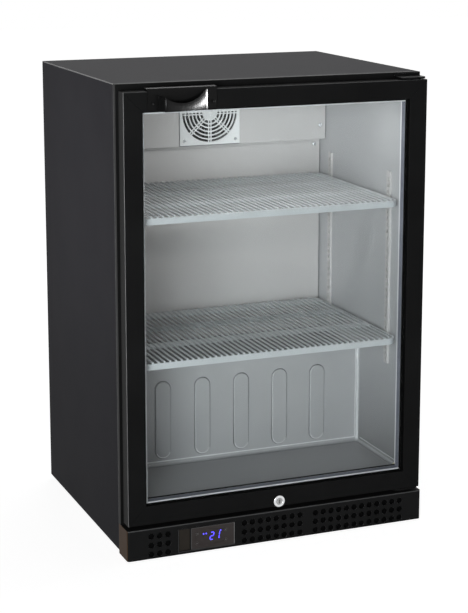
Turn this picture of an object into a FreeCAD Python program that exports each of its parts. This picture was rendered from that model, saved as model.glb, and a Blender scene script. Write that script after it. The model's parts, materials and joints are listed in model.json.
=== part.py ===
"""Single-door glass-fronted bar fridge, modelled piece by piece in millimetres.

Construction frame: X to the right, Y to the back, Z up.  Y = 0 is the front edge of the
case's side panels and Z = 0 is the lower edge of the case.  On export every piece is moved
by the same amount, so that the origin is the middle of the footprint on the floor.
"""
import FreeCAD, Part
import math
import os
from FreeCAD import Vector

# Case
case_width = 600.0
case_depth = 455.0
case_height = 863.0
sheet = 1.0
front_frame_depth = 11.0
front_frame_lip = 9.0

# Insulated walls and the cooled compartment
side_wall = 34.0
ceiling_wall = 34.0
back_wall = 45.0
floor_level = 95.0
floor_foam_bottom = 52.0
liner_sheet = 1.0
cove_radius = 8.0
step_front = 161.0
step_top = 290.0
step_foam = 38.0
pill_count = 5
pill_pitch = 82.0
pill_centre_x = 8.0
pill_width = 32.0
pill_bottom_gap = 14.0
pill_top_gap = 26.0
pill_relief = 3.0
pill_edge_radius = 2.0

# Air duct, evaporator cover and its fan
duct_depth = 52.0
cover_proud = 28.0
cover_height = 135.0
cover_sheet = 1.2
duct_tuck = 4.5
duct_return = 20.0
inner_side_gap = 2.0
fan_x = 8.0
fan_rise = 65.5
guard_size = 128.0
guard_thickness = 2.2
guard_hub_radius = 16.0
guard_rings = 6
guard_ring_pitch = 7.6
guard_slot_width = 5.0
guard_spokes = 8
guard_spoke_half = 3.6
guard_split_half = 1.3
guard_screw_offset = 55.0
cover_fan_hole = 58.5
fan_frame_size = 119.0
fan_frame_depth = 38.0
fan_duct_radius = 56.5
fan_tip_radius = 54.0
fan_hub_radius = 22.0
fan_rotor_depth = 20.0
fan_rotor_setback = 3.0
fan_stator_gap = 1.5
fan_shaft_end_play = 1.0
fan_arm_depth = 4.0
fan_arm_half = 2.0
fan_blades = 5
fan_blade_pitch = 32.0
fan_blade_thickness = 2.0
fan_blade_fill = 0.8
fan_blade_root = 2.0
shaft_radius = 3.0
running_clearance = 0.05
coil_depth = 34.0
coil_height = 112.0
coil_side_gap = 46.0
fin_pitch = 6.0
fin_thickness = 1.5
coil_spine = 3.0

# Shelf strips, clips and shelves
strip_width = 15.0
strip_proud = 4.5
strip_sheet = 1.2
strip_front_y = 38.0
strip_rear_gap = 55.0
strip_bottom_gap = 1.0
strip_top_gap = 25.0
slot_pitch = 12.75
slot_first = 6.0
slot_width = 4.0
slot_height = 8.0
lower_shelf_slot = 3
upper_shelf_slot_from_top = 4
clip_reach = 11.0
clip_width = 10.0
clip_rise = 5.5
clip_thickness = 4.0
clip_play = 0.2
clip_hook = 2.6
clip_hook_play = 0.3
clip_tail = 2.0
shelf_side_gap = 0.5
shelf_front_y = -14.0
shelf_rear_gap = 8.0
shelf_band_height = 11.5
shelf_band_thickness = 4.0
shelf_corner_radius = 20.0
shelf_wire_radius = 1.8
shelf_wire_pitch = 11.2
shelf_wire_bite = 0.5
shelf_strap_width = 30.0
shelf_strap_thickness = 2.0

# Door: mitred hollow frame, double glazing, seal
door_side_gap = 3.0
door_bottom = 59.5
door_top_gap = 11.0
door_thickness = 28.0
door_rear_y = -18.0
door_face = 35.0
door_wall = 2.5
front_lip = 5.0
glass_thickness = 4.0
glass_bite = 12.0
glass_edge_gap = 2.0
spacer_inner_inset = 40.5
spacer_width = 10.5
gasket_inset = 18.0
gasket_width = 14.0
gasket_clearance = 0.3
gasket_groove = 2.0

# Hinges
pivot_inset = 10.0
pivot_y = -30.0
pin_radius = 4.0
pin_length = 13.5
bush_radius = 5.95
bush_fit = 0.05
bush_length = 14.0
hinge_gap = 1.5
hinge_plate = 3.0
hinge_leg = 2.5
hinge_leg_height = 8.0
hinge_span = 52.0
hinge_nose_radius = 9.0
hinge_plate_reach = 14.0

# Door handle, over the top rail near the free edge
handle_left_inset = 43.7
handle_length = 129.6
handle_tab = 19.5
handle_right_tab = 13.0
handle_corner_radius = 4.0
handle_drop = 34.5
handle_top_rise = 5.0
handle_plate = 3.0
handle_lip_depth = 14.0
handle_lip_gap = 0.2
handle_reach = 28.0
handle_end_lean = 5.0
handle_nose_radius = 4.0
handle_wall = 3.5
handle_floor = 3.0
handle_rim_low = 14.3
handle_rim_radius = 63.5
handle_rim_centre = 40.6
handle_screw_height = 12.7

# Lock in the bottom rail
lock_height = 11.0
lock_collar_radius = 11.3
lock_collar_proud = 5.0
lock_collar_edge = 1.5
lock_body_radius = 8.5
lock_fit = 0.1
plug_radius = 6.0
plug_proud = 0.4
keyhole_width = 2.2
keyhole_height = 7.0
keyhole_depth = 8.0
plug_tail_radius = 3.9
cam_hole_clearance = 0.05
cam_thickness = 2.0
cam_gap = 1.6
cam_half_width = 5.5
cam_length = 15.5
strike_half_width = 18.0
strike_lip_gap = 3.1
strike_sheet = 1.5
strike_lip_height = 4.0
strike_toe = 2.5

# Plinth with its ventilation holes, and the controller in it
plinth_height = 52.0
plinth_drop = 6.0
plinth_reach = 49.0
plinth_wall = 2.0
plinth_corner_radius = 5.0
hole_radius = 5.8
hole_pitch = 16.2
hole_margin = 46.0
hole_rows = (2.5, 19.7, 36.9)
left_hole_columns = 3
post_column = 12
controller_left_inset = 97.4
controller_width = 113.8
controller_bottom = -2.0
controller_height = 46.0
controller_proud = 1.0
controller_depth = 22.0
controller_fit = 0.2
controller_rim = 2.0
controller_hole_margin = 16.0
switch_width = 22.0
switch_recess = 2.0
switch_pocket_depth = 11.0
switch_thickness = 5.0
switch_play = 0.6
switch_pin_radius = 1.5
switch_pin_reach = 0.8
switch_tilt_clearance = 0.05
lens_thickness = 3.0
lens_proud = 0.4
lens_cavity = 2.4
lens_fit = 0.1
button_radius = 2.6
button_clearance = 0.1
button_proud = 0.5
button_length = 5.0
button_left_inset = 11.0
button_right_inset = 18.0
button_rise = 9.5
digit_height = 14.0
digit_width = 6.2
digit_stroke = 1.5
digit_gap = 0.35
digit_slant = 8.0
digit_thickness = 0.3
digit_spacing = 11.5
digit_centre_shift = 3.5
digit_rise = 1.2
dot_radius = 1.3
dot_lead = 22.4
dot_pitch = 5.4
dot_rise = 6.0

# Base, machine compartment and feet
base_bottom = 4.0
base_sheet = 2.0
base_flange = 20.0
foot_height = 7.0
foot_pad_height = 6.0
foot_pad_radius = 17.0
foot_stud_radius = 5.0
foot_stud_top = 24.0
foot_inset = 45.0
foot_nut_radius = 9.0
foot_nut_height = 12.0
foot_clearance = 0.08
step_foam_top = 50.0
compressor_radius = 72.0
compressor_height = 165.0
compressor_dome = 45.0
compressor_hollow_radius = 60.0
compressor_hollow_height = 105.0
compressor_x = 140.0
seam_proud = 3.0
seam_height = 4.0
terminal_reach = 18.0
terminal_width = 56.0
terminal_bottom = 30.0
terminal_height = 50.0
mount_height = 14.0
mount_radius = 10.0
bracket_sheet = 3.0
bracket_half_x = 92.0
bracket_half_y = 62.0
bracket_edge = 13.0
condenser_x = -232.0
condenser_width = 50.0
condenser_end_gap = 14.0
condenser_height = 200.0
shroud_gap = 2.0
shroud_sheet = 2.0
shroud_hole_radius = 84.0
shroud_ring = 12.0
shroud_foot = 12.0
condenser_tip_radius = 80.0
condenser_hub_radius = 24.0
condenser_rotor_depth = 22.0
condenser_blades = 5
motor_radius = 30.0
motor_length = 45.0
motor_gap = 4.0
motor_post_width = 40.0
motor_post_depth = 20.0
tray_length = 110.0
tray_width = 62.0
tray_height = 24.0
tray_wall = 2.0
tray_centre_x = -40.0
tray_back_gap = 10.0
drain_radius = 8.0
drain_bore = 6.0
drain_flange = 12.0
drain_flange_height = 2.0
drain_clearance = 0.2
drain_stop_above_tray = 6.0
vent_slot_width = 6.0
vent_slot_height = 70.0
vent_slot_pitch = 15.0
vent_side_margin = 60.0
vent_rows = (55.0, 160.0)
inlet_x = 220.0
inlet_z = 48.0
inlet_width = 50.0
inlet_height = 30.0
inlet_flange = 2.0
inlet_depth = 22.0
inlet_shoulder = 4.0
socket_width = 26.0
socket_height = 18.0
socket_depth = 16.0
socket_pin_length = 10.0
socket_pin_spacing = 7.0
socket_pin_half_width = 1.0
socket_pin_half_height = 3.0
socket_pin_root = 1.0
socket_earth_rise = 2.0
lamp_length = 400.0
lamp_width = 26.0
lamp_height = 12.0
lamp_front_gap = 14.0
lamp_edge_radius = 3.0

# Screws
screw_radius = 4.0
screw_height = 2.2
screw_edge = 0.8
small_screw_radius = 3.2
inner_screw_margin = 12.0
cover_screw_rise = 29.0
duct_screw_drop = 14.0
hinge_screw_margin = 8.0
hinge_screw_pitch = 16.0
rear_screw_rows = 4
rear_screw_margin = 12.0

# Derived places
half = case_width / 2
inner_half = half - side_wall
ceiling = case_height - ceiling_wall
liner_back = case_depth - back_wall
duct_front = liner_back - duct_depth - liner_sheet
cover_front = duct_front - cover_proud
cover_bottom = ceiling - cover_height
fan_z = cover_bottom + fan_rise
bay_front = step_front + liner_sheet + step_foam
bay_top = step_top - step_foam_top
bay_back = case_depth - sheet
bay_middle = (bay_front + sheet + bay_back) / 2
base_top = base_bottom + base_sheet
frame_front = -front_frame_depth
door_front = door_rear_y - door_thickness
door_half = half - door_side_gap
door_top = case_height - door_top_gap
pocket_front = door_front + front_lip
glass_gap = door_thickness - front_lip - 2 * glass_thickness
spacer_front = pocket_front + glass_thickness
spacer_rear = spacer_front + glass_gap
pocket_edge = door_face - glass_bite
pivot_x = door_half - pivot_inset
lock_z = door_bottom + lock_height
plinth_front = -plinth_reach
strip_rear_y = duct_front - strip_rear_gap
strip_bottom = step_top + strip_bottom_gap
strip_top = cover_bottom - strip_top_gap
slot_count = int((strip_top - strip_bottom - 2 * slot_first) / slot_pitch) + 1
upper_shelf_slot = slot_count - 1 - upper_shelf_slot_from_top
strip_face = inner_half - strip_proud
shelf_half = strip_face - shelf_side_gap
shelf_rear_y = duct_front - shelf_rear_gap
controller_left = -half + controller_left_inset
controller_right = controller_left + controller_width
controller_front = plinth_front - controller_proud
controller_top = controller_bottom + controller_height
controller_middle = controller_bottom + controller_height / 2
lens_left = controller_left + 2 * controller_rim + switch_width
lens_right = controller_right - controller_rim
lens_front = controller_front - lens_proud
handle_left = -door_half + handle_left_inset
handle_right = handle_left + handle_length
handle_front = door_front - handle_reach
handle_bottom = door_top - handle_drop
handle_top = door_top + handle_top_rise

# Origin: the middle of the overall footprint, on the floor under the feet
overall_back = case_depth + max(inlet_flange, screw_height)
footprint_middle = (handle_front + overall_back) / 2
to_origin = Vector(0, -footprint_middle, foot_height)

ACROSS = Vector(1, 0, 0)
BACK = Vector(0, 1, 0)
UP = Vector(0, 0, 1)


def box(x0, x1, y0, y1, z0, z1):
    """Block between two corners."""
    return Part.makeBox(x1 - x0, y1 - y0, z1 - z0, Vector(x0, y0, z0))


def rod(radius, start, direction, length):
    """Round bar from a start point."""
    return Part.makeCylinder(radius, length, start, direction)


def wire_xz(points, y):
    """Closed polygon in an upright plane facing the front."""
    loop = [Vector(x, y, z) for x, z in points]
    return Part.makePolygon(loop + loop[:1])


def plate_xz(outer, holes, thickness):
    """Upright plate from an outline with holes, thickened towards the back."""
    face = Part.makeFace([outer] + holes, "Part::FaceMakerBullseye")
    return face.extrude(BACK * thickness)


def rectangle(x0, x1, z0, z1):
    """Corners of an upright rectangle."""
    return [(x0, z0), (x1, z0), (x1, z1), (x0, z1)]


def stadium_xz(x, y, z0, z1, width):
    """Upright slot outline with round ends."""
    r = width / 2
    low, high = z0 + r, z1 - r
    top = Part.Arc(Vector(x + r, y, high), Vector(x, y, z1), Vector(x - r, y, high))
    bottom = Part.Arc(Vector(x - r, y, low), Vector(x, y, z0), Vector(x + r, y, low))
    left = Part.LineSegment(Vector(x - r, y, high), Vector(x - r, y, low))
    right = Part.LineSegment(Vector(x + r, y, low), Vector(x + r, y, high))
    return Part.Wire([piece.toShape() for piece in (top, left, bottom, right)])


def edges_where(shape, test):
    """Edges whose bounding box passes a test."""
    return [edge for edge in shape.Edges if test(edge.BoundBox)]


def near(a, b):
    return abs(a - b) < 1e-4


def mirrored(shape):
    """The same piece on the other side of the middle plane."""
    return shape.mirror(Vector(0, 0, 0), ACROSS)


def screw(centre, normal, radius=screw_radius):
    """Screw head with a bevelled rim, seated on a face."""
    head = rod(radius, centre, normal, screw_height)
    seat = normal.dot(centre)
    rim = [edge for edge in head.Edges if len(edge.Vertexes) == 1
           and normal.dot(edge.CenterOfMass) > seat + screw_height / 2]
    return head.makeChamfer(screw_edge, rim)


# Case and insulation

def side_panel():
    """Right-hand painted side sheet."""
    return box(half - sheet, half, 0, case_depth, 0, case_height - sheet)


def top_panel():
    """Painted sheet over the two sides."""
    return box(-half, half, 0, case_depth, case_height - sheet, case_height)


def rear_panel():
    """Flat sheet behind the insulation."""
    return box(-half + sheet, half - sheet, bay_back, case_depth, bay_top, case_height - sheet)


def compartment(grow):
    """Cooled space with its step, grown outwards by a sheet thickness."""
    room_half = inner_half + grow
    floor = floor_level - grow
    step_face = step_front + grow
    back = liner_back + grow
    room = box(-room_half, room_half, 0, back, floor, ceiling + grow)
    step = box(-room_half, room_half, step_face, back, floor, step_top - grow)
    room = room.cut(step)

    def rounded(b):
        at_side = near(b.XMin, b.XMax) and near(abs(b.XMin), room_half)
        floor_side = at_side and near(b.ZMax, floor)
        floor_step = near(b.YMin, step_face) and near(b.ZMax, floor)
        step_corner = at_side and near(b.YMax, step_face) and b.ZLength > cove_radius
        back_corner = at_side and near(b.YMin, back) and b.ZLength > cove_radius
        return floor_side or floor_step or step_corner or back_corner

    return room.makeFillet(cove_radius + grow, edges_where(room, rounded))


def inner_liner():
    """Stainless liner with pressed panels on the step."""
    liner = compartment(liner_sheet).cut(compartment(0))
    pads = []
    for i in range(pill_count):
        x = pill_centre_x + (i - (pill_count - 1) / 2) * pill_pitch
        outline = stadium_xz(x, step_front - pill_relief, floor_level + pill_bottom_gap,
                             step_top - pill_top_gap, pill_width)
        pad = plate_xz(outline, [], pill_relief)
        front = edges_where(pad, lambda b: near(b.YMax, step_front - pill_relief))
        pads.append(pad.makeFillet(pill_edge_radius, front))
    liner = liner.fuse(pads)
    return liner.cut(drain_hole())


def drain_place():
    """Top of the drain, in the corner behind the air duct."""
    y = (duct_front + liner_sheet + liner_back) / 2
    return Vector(tray_centre_x, y, step_top)


def drain_hole():
    start = drain_place() - UP * (step_top - bay_top + sheet)
    return rod(drain_radius + drain_clearance, start, UP, step_top - bay_top + 2 * sheet)


def insulation_foam():
    """Foam between the liner and the case, open to the machine compartment."""
    block = box(-half + sheet, half - sheet, 0, bay_back, floor_foam_bottom, case_height - sheet)
    bay = box(-half, half, bay_front, case_depth, 0, bay_top)
    return block.cut([bay, compartment(liner_sheet), drain_hole()])


def bay_panel():
    """Bent sheet that faces the foam in the machine compartment."""
    low = floor_foam_bottom
    profile = [(0, low - sheet), (bay_front + sheet, low - sheet), (bay_front + sheet, bay_top - sheet),
               (bay_back, bay_top - sheet), (bay_back, bay_top), (bay_front, bay_top),
               (bay_front, low), (0, low)]
    loop = [Vector(-half + sheet, y, z) for y, z in profile]
    face = Part.Face(Part.makePolygon(loop + loop[:1]))
    return face.extrude(ACROSS * (case_width - 2 * sheet)).cut(drain_hole())


def front_frame():
    """Black frame round the opening and over the front edges of the sheets, which the seal closes on."""
    ring = box(-half, half, frame_front, 0, plinth_height, case_height)
    opening = box(-inner_half, inner_half, frame_front, 0, floor_level, ceiling - front_frame_lip)
    return ring.cut(opening)


# Base and plinth

def foot_places():
    """Centres of the four feet."""
    xs = (-half + foot_inset, half - foot_inset)
    ys = (foot_inset, case_depth - foot_inset)
    return [Vector(x, y, 0) for y in ys for x in xs]


def base_pan():
    """Base sheet with side flanges and a welded nut for each foot."""
    side = half - sheet
    pan = box(-side, side, 0, bay_back, base_bottom, base_top)
    flange = box(side - base_sheet, side, 0, bay_back, base_top, base_top + base_flange)
    nuts = [rod(foot_nut_radius, p + UP * base_top, UP, foot_nut_height) for p in foot_places()]
    pan = pan.fuse([flange, mirrored(flange)] + nuts)
    bore = foot_stud_radius + foot_clearance
    return pan.cut([rod(bore, p, UP, base_top + foot_nut_height) for p in foot_places()])


def levelling_foot(place):
    """Round pad with a threaded stud, turned to level the case."""
    pad = rod(foot_pad_radius, place - UP * foot_height, UP, foot_pad_height)
    edge = edges_where(pad, lambda b: near(b.ZMin, b.ZMax))
    pad = pad.makeChamfer(1.0, edge)
    neck = foot_height - foot_pad_height
    stud = rod(foot_stud_radius, place - UP * neck, UP, neck + foot_stud_top)
    return pad.fuse(stud)


def hole_columns():
    """Places of the ventilation hole columns across the plinth."""
    columns = [-half + hole_margin + i * hole_pitch for i in range(left_hole_columns)]
    x = half - hole_margin
    count = 0
    while x > controller_right + controller_hole_margin:
        if count != post_column:
            columns.append(x)
        x -= hole_pitch
        count += 1
    return columns


def plinth_grille():
    """Hollow plinth with round ventilation holes and a controller window, and the lock's strike on it."""
    shell = box(-half, half, plinth_front, 0, -plinth_drop, plinth_height)
    corners = edges_where(shell, lambda b: near(b.YMax, plinth_front) and b.ZLength > plinth_wall)
    shell = shell.makeFillet(plinth_corner_radius, corners)
    inside = box(-half + plinth_wall, half - plinth_wall, plinth_front + plinth_wall, 0,
                 -plinth_drop, plinth_height - plinth_wall)
    corners = edges_where(inside, lambda b: near(b.YMax, plinth_front + plinth_wall)
                          and b.ZLength > plinth_wall)
    inside = inside.makeFillet(plinth_corner_radius - plinth_wall, corners)
    holes = [rod(hole_radius, Vector(x, plinth_front, z), BACK, plinth_wall)
             for x in hole_columns() for z in hole_rows]
    window = box(controller_left, controller_right, plinth_front, plinth_front + plinth_wall,
                 controller_bottom, controller_top)
    shell = shell.cut([inside, window] + holes)
    return Part.makeCompound([shell, lock_strike()])


# Controller

def switch_axis():
    """Point on the rocker's pivot line."""
    y = controller_front + switch_recess + switch_thickness / 2
    return Vector(controller_left + controller_rim, y, controller_middle)


def switch_half_height():
    return controller_height / 2 - controller_rim - switch_play


def controller_bezel():
    """Housing with a pocket for the rocker and one for the display."""
    f = controller_fit
    body = box(controller_left + f, controller_right - f, controller_front,
               controller_front + controller_depth, controller_bottom + f, controller_top - f)
    low, high = controller_bottom + controller_rim, controller_top - controller_rim
    rocker = box(controller_left + controller_rim, controller_left + controller_rim + switch_width,
                 controller_front, controller_front + switch_pocket_depth, low, high)
    lens = box(lens_left, lens_right, controller_front, lens_front + lens_thickness + lens_cavity,
               low, high)
    pin = rod(switch_pin_radius + switch_tilt_clearance, switch_axis() - ACROSS,
              ACROSS, switch_width + 2)
    return body.cut([rocker, lens, pin])


def rocker_switch():
    """Flush rocker on a cross pin."""
    start = switch_axis()
    y = start.y - switch_thickness / 2
    z = switch_half_height()
    width = switch_width - 2 * controller_fit
    x = start.x + controller_fit
    plate = box(x, x + width, y, y + switch_thickness, start.z - z, start.z + z)
    pin = rod(switch_pin_radius, start - ACROSS * switch_pin_reach, ACROSS,
              switch_width + 2 * switch_pin_reach)
    return plate.fuse(pin)


def button_places():
    """Centres of the four keys, on the display's front face."""
    xs = (lens_left + button_left_inset, lens_right - button_right_inset)
    zs = (controller_middle - button_rise, controller_middle + button_rise)
    return [Vector(x, lens_front, z) for x in xs for z in zs]


def display_lens():
    """Glossy display window with a hole for each key."""
    f = lens_fit
    low, high = controller_bottom + controller_rim, controller_top - controller_rim
    lens = box(lens_left + f, lens_right - f, lens_front, lens_front + lens_thickness, low + f, high - f)
    return lens.cut([rod(button_radius + button_clearance, p, BACK, lens_thickness)
                     for p in button_places()])


def button(place):
    """Round key that stands just proud of the display."""
    return rod(button_radius, place - BACK * button_proud, BACK, button_length)


def segment(x, z, horizontal, length):
    """One lit bar of a digit, pointed at both ends and leaning with the digit."""
    h = digit_stroke / 2
    a = length / 2 - digit_gap
    if horizontal:
        points = [(-a, 0), (-a + h, h), (a - h, h), (a, 0), (a - h, -h), (-a + h, -h)]
    else:
        points = [(0, -a), (h, -a + h), (h, a - h), (0, a), (-h, a - h), (-h, -a + h)]
    lean = math.tan(math.radians(digit_slant))
    return [(x + px + (z + pz) * lean, z + pz) for px, pz in points]


def display_digits():
    """Two seven-bar figures with three small dots, lit on the display."""
    h, w = digit_height / 2, digit_width / 2
    bars = {"a": (0, h, True), "b": (w, h / 2, False), "c": (w, -h / 2, False), "d": (0, -h, True),
            "e": (-w, -h / 2, False), "f": (-w, h / 2, False), "g": (0, 0, True)}
    middle_x = (lens_left + lens_right) / 2 + digit_centre_shift
    middle_z = controller_middle + digit_rise
    y = lens_front - digit_thickness
    pieces = []
    for place, lit in ((-0.5, "abged"), (0.5, "bc")):
        for name in lit:
            bx, bz, horizontal = bars[name]
            length = digit_width if horizontal else h
            points = segment(bx, bz, horizontal, length)
            shifted = [(middle_x + place * digit_spacing + px, middle_z + pz) for px, pz in points]
            pieces.append(plate_xz(wire_xz(shifted, y), [], digit_thickness))
    first_dot = middle_x - dot_lead
    dots = [(first_dot, dot_rise), (first_dot + dot_pitch, dot_rise),
            (middle_x + digit_spacing, h + dot_radius)]
    for x, z in dots:
        pieces.append(rod(dot_radius, Vector(x, y, middle_z + z), BACK, digit_thickness))
    return Part.makeCompound(pieces)


# Machine compartment

def compressor():
    """Welded can with a domed lid on a mounting bracket, hollow from below."""
    base = base_top + mount_height + bracket_sheet
    r = compressor_radius
    centre = Vector(compressor_x, bay_middle, base)
    can = rod(r, centre, UP, compressor_height)
    lid = edges_where(can, lambda b: near(b.ZMin, base + compressor_height))
    can = can.makeFillet(compressor_dome, lid)
    bottom = edges_where(can, lambda b: near(b.ZMin, base) and near(b.ZMax, base))
    can = can.makeFillet(compressor_dome / 3, bottom)
    bracket = box(compressor_x - bracket_half_x, compressor_x + bracket_half_x,
                  bay_middle - bracket_half_y, bay_middle + bracket_half_y, base - bracket_sheet, base)
    seam = rod(r + seam_proud, centre + UP * (compressor_height - seam_height) / 2, UP, seam_height)
    terminals = box(compressor_x - r - terminal_reach, compressor_x, bay_middle - terminal_width / 2,
                    bay_middle + terminal_width / 2, base + terminal_bottom,
                    base + terminal_bottom + terminal_height)
    hollow = rod(compressor_hollow_radius, centre - UP * bracket_sheet, UP, compressor_hollow_height)
    return can.fuse([bracket, seam, terminals]).cut(hollow)


def compressor_mounts():
    """Rubber buffers under the corners of the bracket."""
    dx, dy = bracket_half_x - bracket_edge, bracket_half_y - bracket_edge
    corners = [Vector(compressor_x + sx * dx, bay_middle + sy * dy, base_top)
               for sx in (-1, 1) for sy in (-1, 1)]
    return Part.makeCompound([rod(mount_radius, p, UP, mount_height) for p in corners])


def comb(length, depth):
    """Outline of a fin pack: a spine with a fin at every pitch."""
    points = [(0, 0), (length, 0), (length, depth)]
    fins = int((length - fin_thickness) / fin_pitch)
    step = (length - fin_thickness) / fins
    for i in range(fins, 0, -1):
        right = i * step
        left = right - step + fin_thickness
        points += [(right, depth), (right, coil_spine), (left, coil_spine), (left, depth)]
    points.append((0, depth))
    return points


def condenser_coil():
    """Finned heat exchanger standing across the machine compartment."""
    y0 = bay_front + sheet + condenser_end_gap
    length = bay_back - condenser_end_gap - y0
    loop = [Vector(condenser_x + d, y0 + s, base_top) for s, d in comb(length, condenser_width)]
    face = Part.Face(Part.makePolygon(loop + loop[:1]))
    return face.extrude(UP * condenser_height)


def shroud_x():
    return condenser_x + condenser_width + shroud_gap


def condenser_fan_shroud():
    """Upright plate with a ring for the fan to run in."""
    x = shroud_x()
    y0 = bay_front + sheet + condenser_end_gap
    plate = box(x, x + shroud_sheet, y0, bay_back - condenser_end_gap, base_top,
                base_top + condenser_height)
    centre = Vector(x, bay_middle, base_top + condenser_height / 2)
    ring = rod(shroud_hole_radius + shroud_sheet, centre, ACROSS, shroud_ring)
    foot = box(x - shroud_gap, x, y0, y0 + shroud_foot, base_top, base_top + condenser_height)
    other = foot.translated(Vector(0, bay_back - condenser_end_gap - shroud_foot - y0, 0))
    hole = rod(shroud_hole_radius, centre, ACROSS, shroud_ring)
    return plate.fuse([ring, foot, other]).cut(hole)


def fan_rotor(hub_radius, tip_radius, depth, blades):
    """Fan rotor about +Z from z = 0, with pitched blades and a stub shaft above."""
    hub = rod(hub_radius, Vector(0, 0, 0), UP, depth)
    chord = depth / math.sin(math.radians(fan_blade_pitch)) * fan_blade_fill
    blade = box(hub_radius - fan_blade_root, tip_radius, -chord / 2, chord / 2,
                -fan_blade_thickness / 2, fan_blade_thickness / 2)
    blade.rotate(Vector(0, 0, 0), ACROSS, fan_blade_pitch)
    blade.translate(UP * (depth / 2))
    sweep = rod(tip_radius, Vector(0, 0, 0), UP, depth)
    blade = blade.common(sweep)
    turned = [blade.rotated(Vector(0, 0, 0), UP, i * 360 / blades) for i in range(blades)]
    shaft = rod(shaft_radius, UP * depth, UP, depth / 2)
    return hub.fuse(turned + [shaft])


def condenser_rotor_x():
    return shroud_x() + shroud_sheet


def condenser_fan_blade():
    """Condenser fan rotor, axis across the fridge."""
    rotor = fan_rotor(condenser_hub_radius, condenser_tip_radius, condenser_rotor_depth,
                      condenser_blades)
    rotor.rotate(Vector(0, 0, 0), BACK, 90)
    rotor.translate(Vector(condenser_rotor_x(), bay_middle, base_top + condenser_height / 2))
    return rotor


def condenser_fan_motor():
    """Motor on a post from the base, with a bore for the rotor's shaft."""
    x = condenser_rotor_x() + condenser_rotor_depth + motor_gap
    z = base_top + condenser_height / 2
    can = rod(motor_radius, Vector(x, bay_middle, z), ACROSS, motor_length)
    post_x = x + (motor_length - motor_post_depth) / 2
    post = box(post_x, post_x + motor_post_depth, bay_middle - motor_post_width / 2,
               bay_middle + motor_post_width / 2, base_top, z)
    bore = rod(shaft_radius + running_clearance, Vector(x, bay_middle, z), ACROSS,
               condenser_rotor_depth / 2 - motor_gap + 1)
    return can.fuse(post).cut(bore)


def drip_tray():
    """Open tray that catches the defrost water under the drain."""
    y1 = bay_back - tray_back_gap
    x0 = tray_centre_x - tray_length / 2
    tray = box(x0, x0 + tray_length, y1 - tray_width, y1, base_top, base_top + tray_height)
    inside = box(x0 + tray_wall, x0 + tray_length - tray_wall, y1 - tray_width + tray_wall,
                 y1 - tray_wall, base_top + tray_wall, base_top + tray_height)
    return tray.cut(inside)


def drain_tube():
    """Flanged drain from the step down to the tray."""
    top = drain_place()
    stop = base_top + tray_height + drain_stop_above_tray
    tube = rod(drain_radius, Vector(top.x, top.y, stop), UP, top.z - stop)
    flange = rod(drain_flange, top, UP, drain_flange_height)
    bore = rod(drain_bore, Vector(top.x, top.y, stop), UP, top.z - stop + drain_flange_height)
    return tube.fuse(flange).cut(bore)


def rear_vent_cover():
    """Slotted sheet that closes the machine compartment, with a window for the inlet."""
    side = half - sheet
    outer = wire_xz(rectangle(-side, side, base_top, bay_top), bay_back)
    holes = []
    count = int((2 * (side - vent_side_margin)) / vent_slot_pitch)
    for z in vent_rows:
        for i in range(count + 1):
            x = (i - count / 2) * vent_slot_pitch
            clear = abs(x - inlet_x) > inlet_width / 2 + vent_slot_pitch
            if clear or z - vent_slot_height / 2 > inlet_z + inlet_height:
                holes.append(stadium_xz(x, bay_back, z - vent_slot_height / 2, z + vent_slot_height / 2,
                                        vent_slot_width))
    w = inlet_width / 2 - inlet_shoulder + controller_fit
    h = inlet_height / 2 - inlet_shoulder + controller_fit
    window = rectangle(inlet_x - w, inlet_x + w, inlet_z - h, inlet_z + h)
    holes.append(wire_xz(window, bay_back))
    return plate_xz(outer, holes, sheet)


def power_inlet():
    """Flanged appliance inlet with three contact pins."""
    w, h = inlet_width / 2, inlet_height / 2
    flange = box(inlet_x - w, inlet_x + w, case_depth, case_depth + inlet_flange, inlet_z - h, inlet_z + h)
    w, h = w - inlet_shoulder, h - inlet_shoulder
    body = box(inlet_x - w, inlet_x + w, case_depth - inlet_depth, case_depth, inlet_z - h, inlet_z + h)
    floor = case_depth + inlet_flange - socket_depth
    socket = box(inlet_x - socket_width / 2, inlet_x + socket_width / 2, floor,
                 case_depth + inlet_flange, inlet_z - socket_height / 2, inlet_z + socket_height / 2)
    pins = []
    for place, rise in ((-1, 0), (0, socket_earth_rise), (1, 0)):
        x, z = inlet_x + place * socket_pin_spacing, inlet_z + rise
        pins.append(box(x - socket_pin_half_width, x + socket_pin_half_width, floor - socket_pin_root,
                        floor + socket_pin_length, z - socket_pin_half_height, z + socket_pin_half_height))
    return flange.fuse(body).cut(socket).fuse(pins)


# Cooled compartment fittings

def duct_panel():
    """Sheet in front of the air duct on the back wall, returned at its sides."""
    side = inner_half - inner_side_gap
    top = cover_bottom + cover_sheet + duct_tuck
    panel = box(-side, side, duct_front, duct_front + liner_sheet, step_top, top)
    lip = box(side - liner_sheet, side, duct_front + liner_sheet, duct_front + duct_return, step_top, top)
    return panel.fuse([lip, mirrored(lip)])


def evaporator_cover():
    """Folded cover across the top of the back wall, with the fan's hole."""
    side = inner_half - inner_side_gap
    front = box(-side, side, cover_front, cover_front + cover_sheet, cover_bottom, ceiling)
    under = box(-side, side, cover_front, duct_front, cover_bottom, cover_bottom + cover_sheet)
    cheek = box(side - cover_sheet, side, cover_front, duct_front, cover_bottom, ceiling)
    hole = rod(cover_fan_hole, Vector(fan_x, cover_front, fan_z), BACK, cover_sheet)
    return front.fuse([under, cheek, mirrored(cheek)]).cut(hole)


def guard_point(radius, angle, y):
    return Vector(fan_x + radius * math.cos(angle), y, fan_z + radius * math.sin(angle))


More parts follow.
